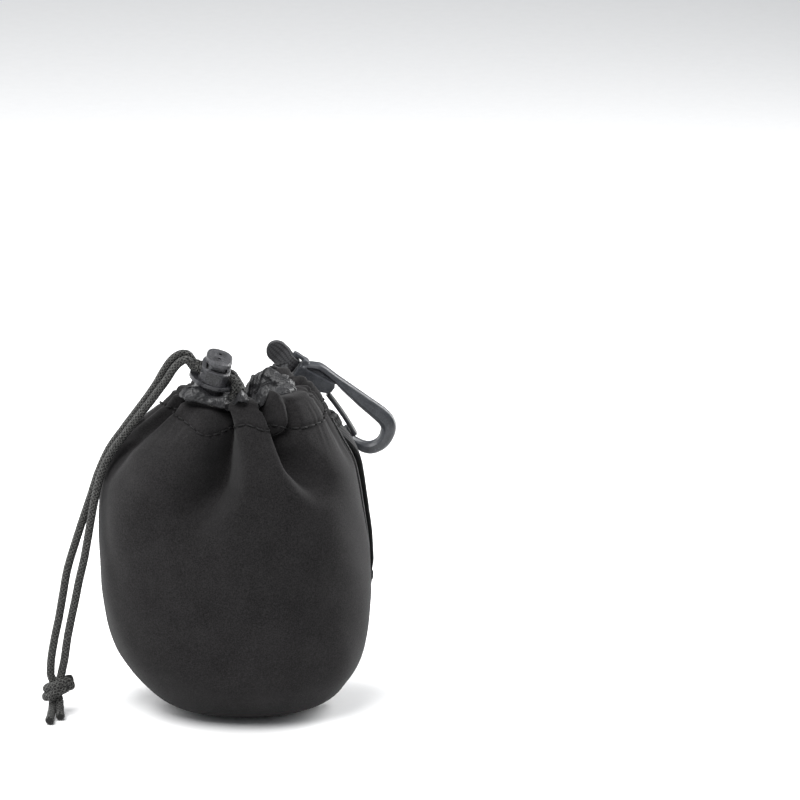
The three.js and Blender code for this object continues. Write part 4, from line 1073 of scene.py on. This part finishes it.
shares = np.linspace(strap_low, strap_high, strap_rows)[:, None]
turns = strap_angle + band * strap_width / 2 / wall_reach(strap_angle, shares)
hem = 1 - sum(0.25 * np.exp(-(((shares - end) / strap_hem) ** 2)) for end in (strap_low, strap_high))
edge = (1 - np.abs(band) ** 14) ** 0.5
half = strap_thickness / 2 * edge * hem
ribs = 0.07 * mm * np.abs(np.sin(band * strap_width / 2 / strap_rib * math.pi)) * edge - 0.04 * mm
free = rise_between(strap_low + 0.03, strap_low + 0.08, shares)
free = free * (1 - rise_between(strap_high - 0.08, strap_high - 0.03, shares))
centre = sewn_lie + (strap_gap - sewn_lie) * free + strap_thickness / 2
top, low = off_wall(turns, shares, centre + half + ribs), off_wall(turns, shares, centre - half)
belt_strap = add_band("webbing_belt_strap", top, low, strap_width, shaded_strap_webbing)
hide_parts("belt_strap")
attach(belt_strap, "pouch")


def bar_tack(name, lay, crossings, radius=0.26 * mm):
    """Close zigzags of thread. lay gives the points for shares along the bar and across it."""
    marks = np.linspace(0, crossings, crossings * 6 + 1)
    return add_threads(name, [lay(marks / crossings, np.abs(marks % 2 - 1))], radius)


tack_length = 17.8 * mm
tack_width = 2.2 * mm

for name, share in (
    ("strap_tack_top", strap_high - tack_width / body_height),
    ("strap_tack_bottom", strap_low + tack_width / body_height),
):
    reach = wall_reach(strap_angle, share)

    def lay(along, across):
        turn = strap_angle + (along - 0.5) * tack_length / reach
        height = share + (across - 0.5) * tack_width / body_height
        return off_wall(turn, height, strap_thickness + 0.2 * mm)

    tack = bar_tack("bar_" + name, lay, 52)
    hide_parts(name)
    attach(tack, "pouch")


# Hook loop. A 6 mm webbing tape sewn to the back of the mouth, brought up, folded round the bar
# of the snap hook and stitched down on itself with one bar tack.

tape_width = 6 * mm
tape_thickness = 1.1 * mm
tape_rib = 1.1 * mm
loop_slope = math.radians(44)
hook_slope = math.radians(36)
loop_reach = 4.9 * mm
bar_radius = 0.9 * mm
tail_turn = math.radians(64)
loop_corner = np.array([9 * mm + pouch_middle, 22.3 * mm, 95.9 * mm])
down_loop = np.array([math.cos(loop_slope), 0, -math.sin(loop_slope)])
bar_place = loop_corner + down_loop * loop_reach
bar_way = np.array([math.sin(hook_slope), 0, math.cos(hook_slope)])
tape_across = np.array([math.sin(loop_slope), 0, math.cos(loop_slope)])
backward = np.array([0.0, 1.0, 0.0])


def square_to(ways, sides):
    """The sides turned square to the ways, as unit vectors."""
    return unit(sides - ways * (sides * ways).sum(axis=1)[:, None])


def ribbon(name, middles, across, out, widths, thickness, finish, relief=0.06 * mm):
    """Webbing along a line: a flat section with soft edges and standing ribs, capped at its ends."""
    edge = (1 - np.abs(band) ** 10) ** 0.5 * 0.999 + 0.001
    sideways = np.outer(widths, band) / 2
    ribs = relief * np.abs(np.sin(sideways / tape_rib * math.pi)) * edge - relief / 2
    flat = middles[:, None] + sideways[..., None] * across[:, None]
    raised = (edge * thickness / 2 + ribs)[..., None] * out[:, None]
    return add_band(name, flat + raised, flat - raised, np.mean(widths), finish)


turn_radius = bar_radius + 0.3 * mm + tape_thickness / 2
lie = tape_thickness / 2 + 0.02 * mm
front_run = [(x * mm, -y * lie) for x, y in ((-2.98, 1), (-2.6, 1), (-1.5, 1), (0, 1), (1.4, 1.05))]
bends = np.radians(np.linspace(-128, 128, 13))
turn_run = [(loop_reach + turn_radius * math.cos(t), turn_radius * math.sin(t)) for t in bends]
back_run = [(x, -y) for x, y in front_run[::-1]]
tape_line, _ = evenly(catmull([(x, y, 0) for x, y in front_run + turn_run + back_run], 8), 0.16 * mm)
tape_run = tape_line[:, 0]
tape_middles = loop_corner + tape_line[:, :1] * down_loop + tape_line[:, 1:2] * backward
ways = unit(np.gradient(tape_middles, axis=0))
blend = rise_between(1.0 * mm, 4.0 * mm, tape_run)[:, None]
tape_sides = square_to(ways, tape_across * (1 - blend) + bar_way * blend)
tape_widths = np.where(
    tape_run < 0,
    2 * np.sqrt(np.maximum((tape_width / 2) ** 2 - np.minimum(tape_run, 0) ** 2, (0.5 * mm) ** 2)),
    tape_width - 1.1 * mm * rise_between(1.5 * mm, 4 * mm, tape_run),
)
hook_loop = ribbon(
    "webbing_hook_loop", tape_middles, tape_sides, np.cross(ways, tape_sides), tape_widths,
    tape_thickness - 0.06 * mm, webbing,
)

tail_points = [off_wall(tail_turn, share, 0.5 * mm + tape_thickness) for share in (0.93, 0.95, 0.97, 0.99)]
for step in ((1.6, -4.8, -6.4), (1.5, -2.9, -5.3), (1.2, -1.8, -4.1), (0.9, -1.7, -2.9)):
    tail_points.append(loop_corner + np.array(step) * mm)
tail_line, _ = evenly(catmull(tail_points, 8), 0.2 * mm)
ways = unit(np.gradient(tail_line, axis=0))
part = rise_between(0.35, 0.9, np.linspace(0, 1, len(ways)))[:, None]
side = square_to(ways, np.cross(ways, wall_normal(tail_turn, 0.96)) * (1 - part) - tape_across * part)
tail_band = ribbon(
    "webbing_hook_loop_tail", tail_line, side, np.cross(ways, side),
    np.full(len(tail_line), tape_width * 0.75), tape_thickness, webbing,
)
for piece in (hook_loop, tail_band):
    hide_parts("hook_loop")
    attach(piece, "pouch")


def lay_loop_tack(along, across):
    down, aside = (across - 0.5) * 2.4 * mm, (along - 0.6) * 3.6 * mm
    return loop_corner + np.outer(down, down_loop) + np.outer(aside, tape_across) + backward * 1.3 * mm


loop_tack = bar_tack("bar_hook_loop_tack", lay_loop_tack, 14, 0.22 * mm)
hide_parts("hook_loop_tack")
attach(loop_tack, "pouch")


# Snap hook. One moulding in blue-grey satin nylon: an eye with a bar for the tape, a block, and
# a curved spine round to the nose; its thin springy gate leaf closes against the nose.

hook_length = 38.6 * mm
hook_reach = 15.1 * mm
hook_thickness = 4.2 * mm
eye_clear = bar_radius + 0.3 * mm + tape_thickness + 0.3 * mm
eye_arm = mm
eye_half = tape_width / 2 - 0.35 * mm + eye_arm
eye_inner = 1.5 * mm
hook_root = eye_clear + eye_inner / 2
hook_way = np.array([math.cos(hook_slope), 0, -math.sin(hook_slope)])
hook_axes = np.array([hook_way, bar_way, np.cross(hook_way, bar_way)])

# The spine's middle line from the eye round to the nose: its places along and across, and its
# width, as shares of the hook's length and reach.
spine = [
    (0.005, 0.13, 0.11), (0.08, 0.235, 0.115), (0.13, 0.275, 0.125), (0.25, 0.262, 0.135),
    (0.395, 0.23, 0.2), (0.572, 0.2, 0.262), (0.72, 0.182, 0.298), (0.804, 0.146, 0.305),
    (0.853, 0.056, 0.292), (0.881, -0.123, 0.265), (0.875, -0.298, 0.248), (0.833, -0.447, 0.238),
    (0.773, -0.51, 0.212), (0.708, -0.523, 0.178), (0.654, -0.503, 0.135), (0.606, -0.45, 0.105),
    (0.572, -0.397, 0.08),
]
block_outline = [
    (-0.025, -0.14), (0.19, -0.155), (0.29, -0.03), (0.306, 0.02), (0.306, 0.14), (0.275, 0.185),
    (-0.025, 0.1),
]
block_web = [(0.0, 0.05), (0.27, 0.12), (0.275, 0.23), (0.14, 0.28), (0.06, 0.22)]
gate_root, gate_tip = (0.3, -0.07), (0.672, -0.402)


def hook_flat(along, across):
    return hook_root + along * (hook_length - hook_root), across * hook_reach


def in_hook(x, y, z):
    return bar_place + stacked(x, y, z) @ hook_axes


def hook_sweep():
    rows = catmull([(*hook_flat(a, b), w * hook_reach) for a, b, w in spine], 8)
    ways = unit(np.gradient(rows[:, :2], axis=0))
    turns = (np.arange(28) + 0.5) * 2 * math.pi / 28
    c, s = (np.sign(wave) * np.abs(wave) ** 0.8 for wave in (np.cos(turns), np.sin(turns)))
    ridge = 1 + 0.2 * np.exp(-(((c + 0.38) / 0.2) ** 2))
    half = rows[:, 2:] / 2 * c
    x, y = rows[:, :1] - ways[:, 1:] * half, rows[:, 1:2] + ways[:, :1] * half
    rings = in_hook(x, y, hook_thickness / 2 * s * ridge * 0.92)
    return rings.reshape(-1, 3), ringed(rings)[0]


def boxed(low, high):
    corners = [in_hook(*corner) for corner in itertools.product(*zip(low, high))]
    return corners, [(0, 1, 3, 2), (4, 6, 7, 5), (0, 4, 5, 1), (2, 3, 7, 6), (0, 2, 6, 4), (1, 5, 7, 3)]


def hook_bar():
    turns = np.arange(20) * 2 * math.pi / 20
    levels = np.linspace(-eye_half, eye_half, 5)[:, None]
    rings = in_hook(bar_radius * np.cos(turns), levels, bar_radius * np.sin(turns))
    return rings.reshape(-1, 3), ringed(rings)[0]


def hook_plate(outline, half_depth):
    corners = [hook_flat(*p) for p in outline]
    places = [in_hook(x, y, z) for z in (-half_depth, half_depth) for x, y in corners]
    count = len(corners)
    sides = [(k, (k + 1) % count, (k + 1) % count + count, k + count) for k in range(count)]
    return places, [tuple(range(count - 1, -1, -1)), tuple(range(count, 2 * count)), *sides]


satin_grain = grained(0.22, 0.6, (0.022, 0.024, 0.028), (0.06, 0.063, 0.07), (0.2, 0.21, 0.23))
satin_nylon, _ = new_finish("satin_hook_plastic", grain_pattern, None, 0.035 * mm, satin_grain, 0.7)

arm = eye_clear + eye_inner
arm_low, arm_high = -1.3 * mm, 0.9 * mm
solids = [
    hook_sweep(),
    hook_bar(),
    hook_plate(block_outline, 2.4 * mm),
    hook_plate(block_web, 1.1 * mm),
    boxed((-0.2 * mm, eye_half - eye_arm, arm_low), (arm, eye_half, arm_high)),
    boxed((-0.2 * mm, -eye_half, arm_low), (arm, -eye_half + eye_arm, arm_high)),
    boxed((eye_clear, -eye_half, -1.8 * mm), (arm, eye_half, 1.8 * mm)),
]
snap_hook = add_skins("moulded_snap_hook", solids, satin_nylon)
outward = bmesh.new()
outward.from_mesh(snap_hook.data)
bmesh.ops.recalc_face_normals(outward, faces=outward.faces)
outward.to_mesh(snap_hook.data)
outward.free()
moulding = snap_hook.modifiers.new("one_moulding", "REMESH")
moulding.mode = "VOXEL"
moulding.voxel_size = 0.17 * mm
moulding.use_smooth_shade = True
rounding = snap_hook.modifiers.new("soft_edges", "SMOOTH")
rounding.factor = 0.5
rounding.iterations = 4
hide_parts("snap_hook")
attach(snap_hook, "hook")

# The gate leaf is the hook's own satin plastic with much darker colours: painted shade, for the shadow the
# thin leaf lies in.
shaded_gate_grain = grained(0.22, 0.4, (0.006, 0.006, 0.007), (0.022, 0.023, 0.026), (0.12, 0.12, 0.13))
shaded_gate_plastic, _ = new_finish("shaded_gate_plastic", grain_pattern, 0.45, 0.035 * mm, shaded_gate_grain, 0.7)

gate_rows = 40
root, tip = np.array([hook_flat(*gate_root), hook_flat(*gate_tip)])
way = unit(tip - root)
side = np.array([-way[1], way[0]])
part = np.linspace(0, 1, gate_rows)[:, None]
gate_line = root + (tip - root) * part + side * 0.3 * mm * np.sin(math.pi * part)
gate_out, gate_across = (np.tile(axis, (gate_rows, 1)) for axis in (side @ hook_axes[:2], hook_axes[2]))
gate = ribbon(
    "moulded_gate_leaf", in_hook(gate_line[:, 0], gate_line[:, 1], 0), gate_across, gate_out,
    np.full(gate_rows, 3.4 * mm), 1.15 * mm, shaded_gate_plastic, relief=0.0,
)
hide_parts("hook_gate")
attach(gate, "gate")
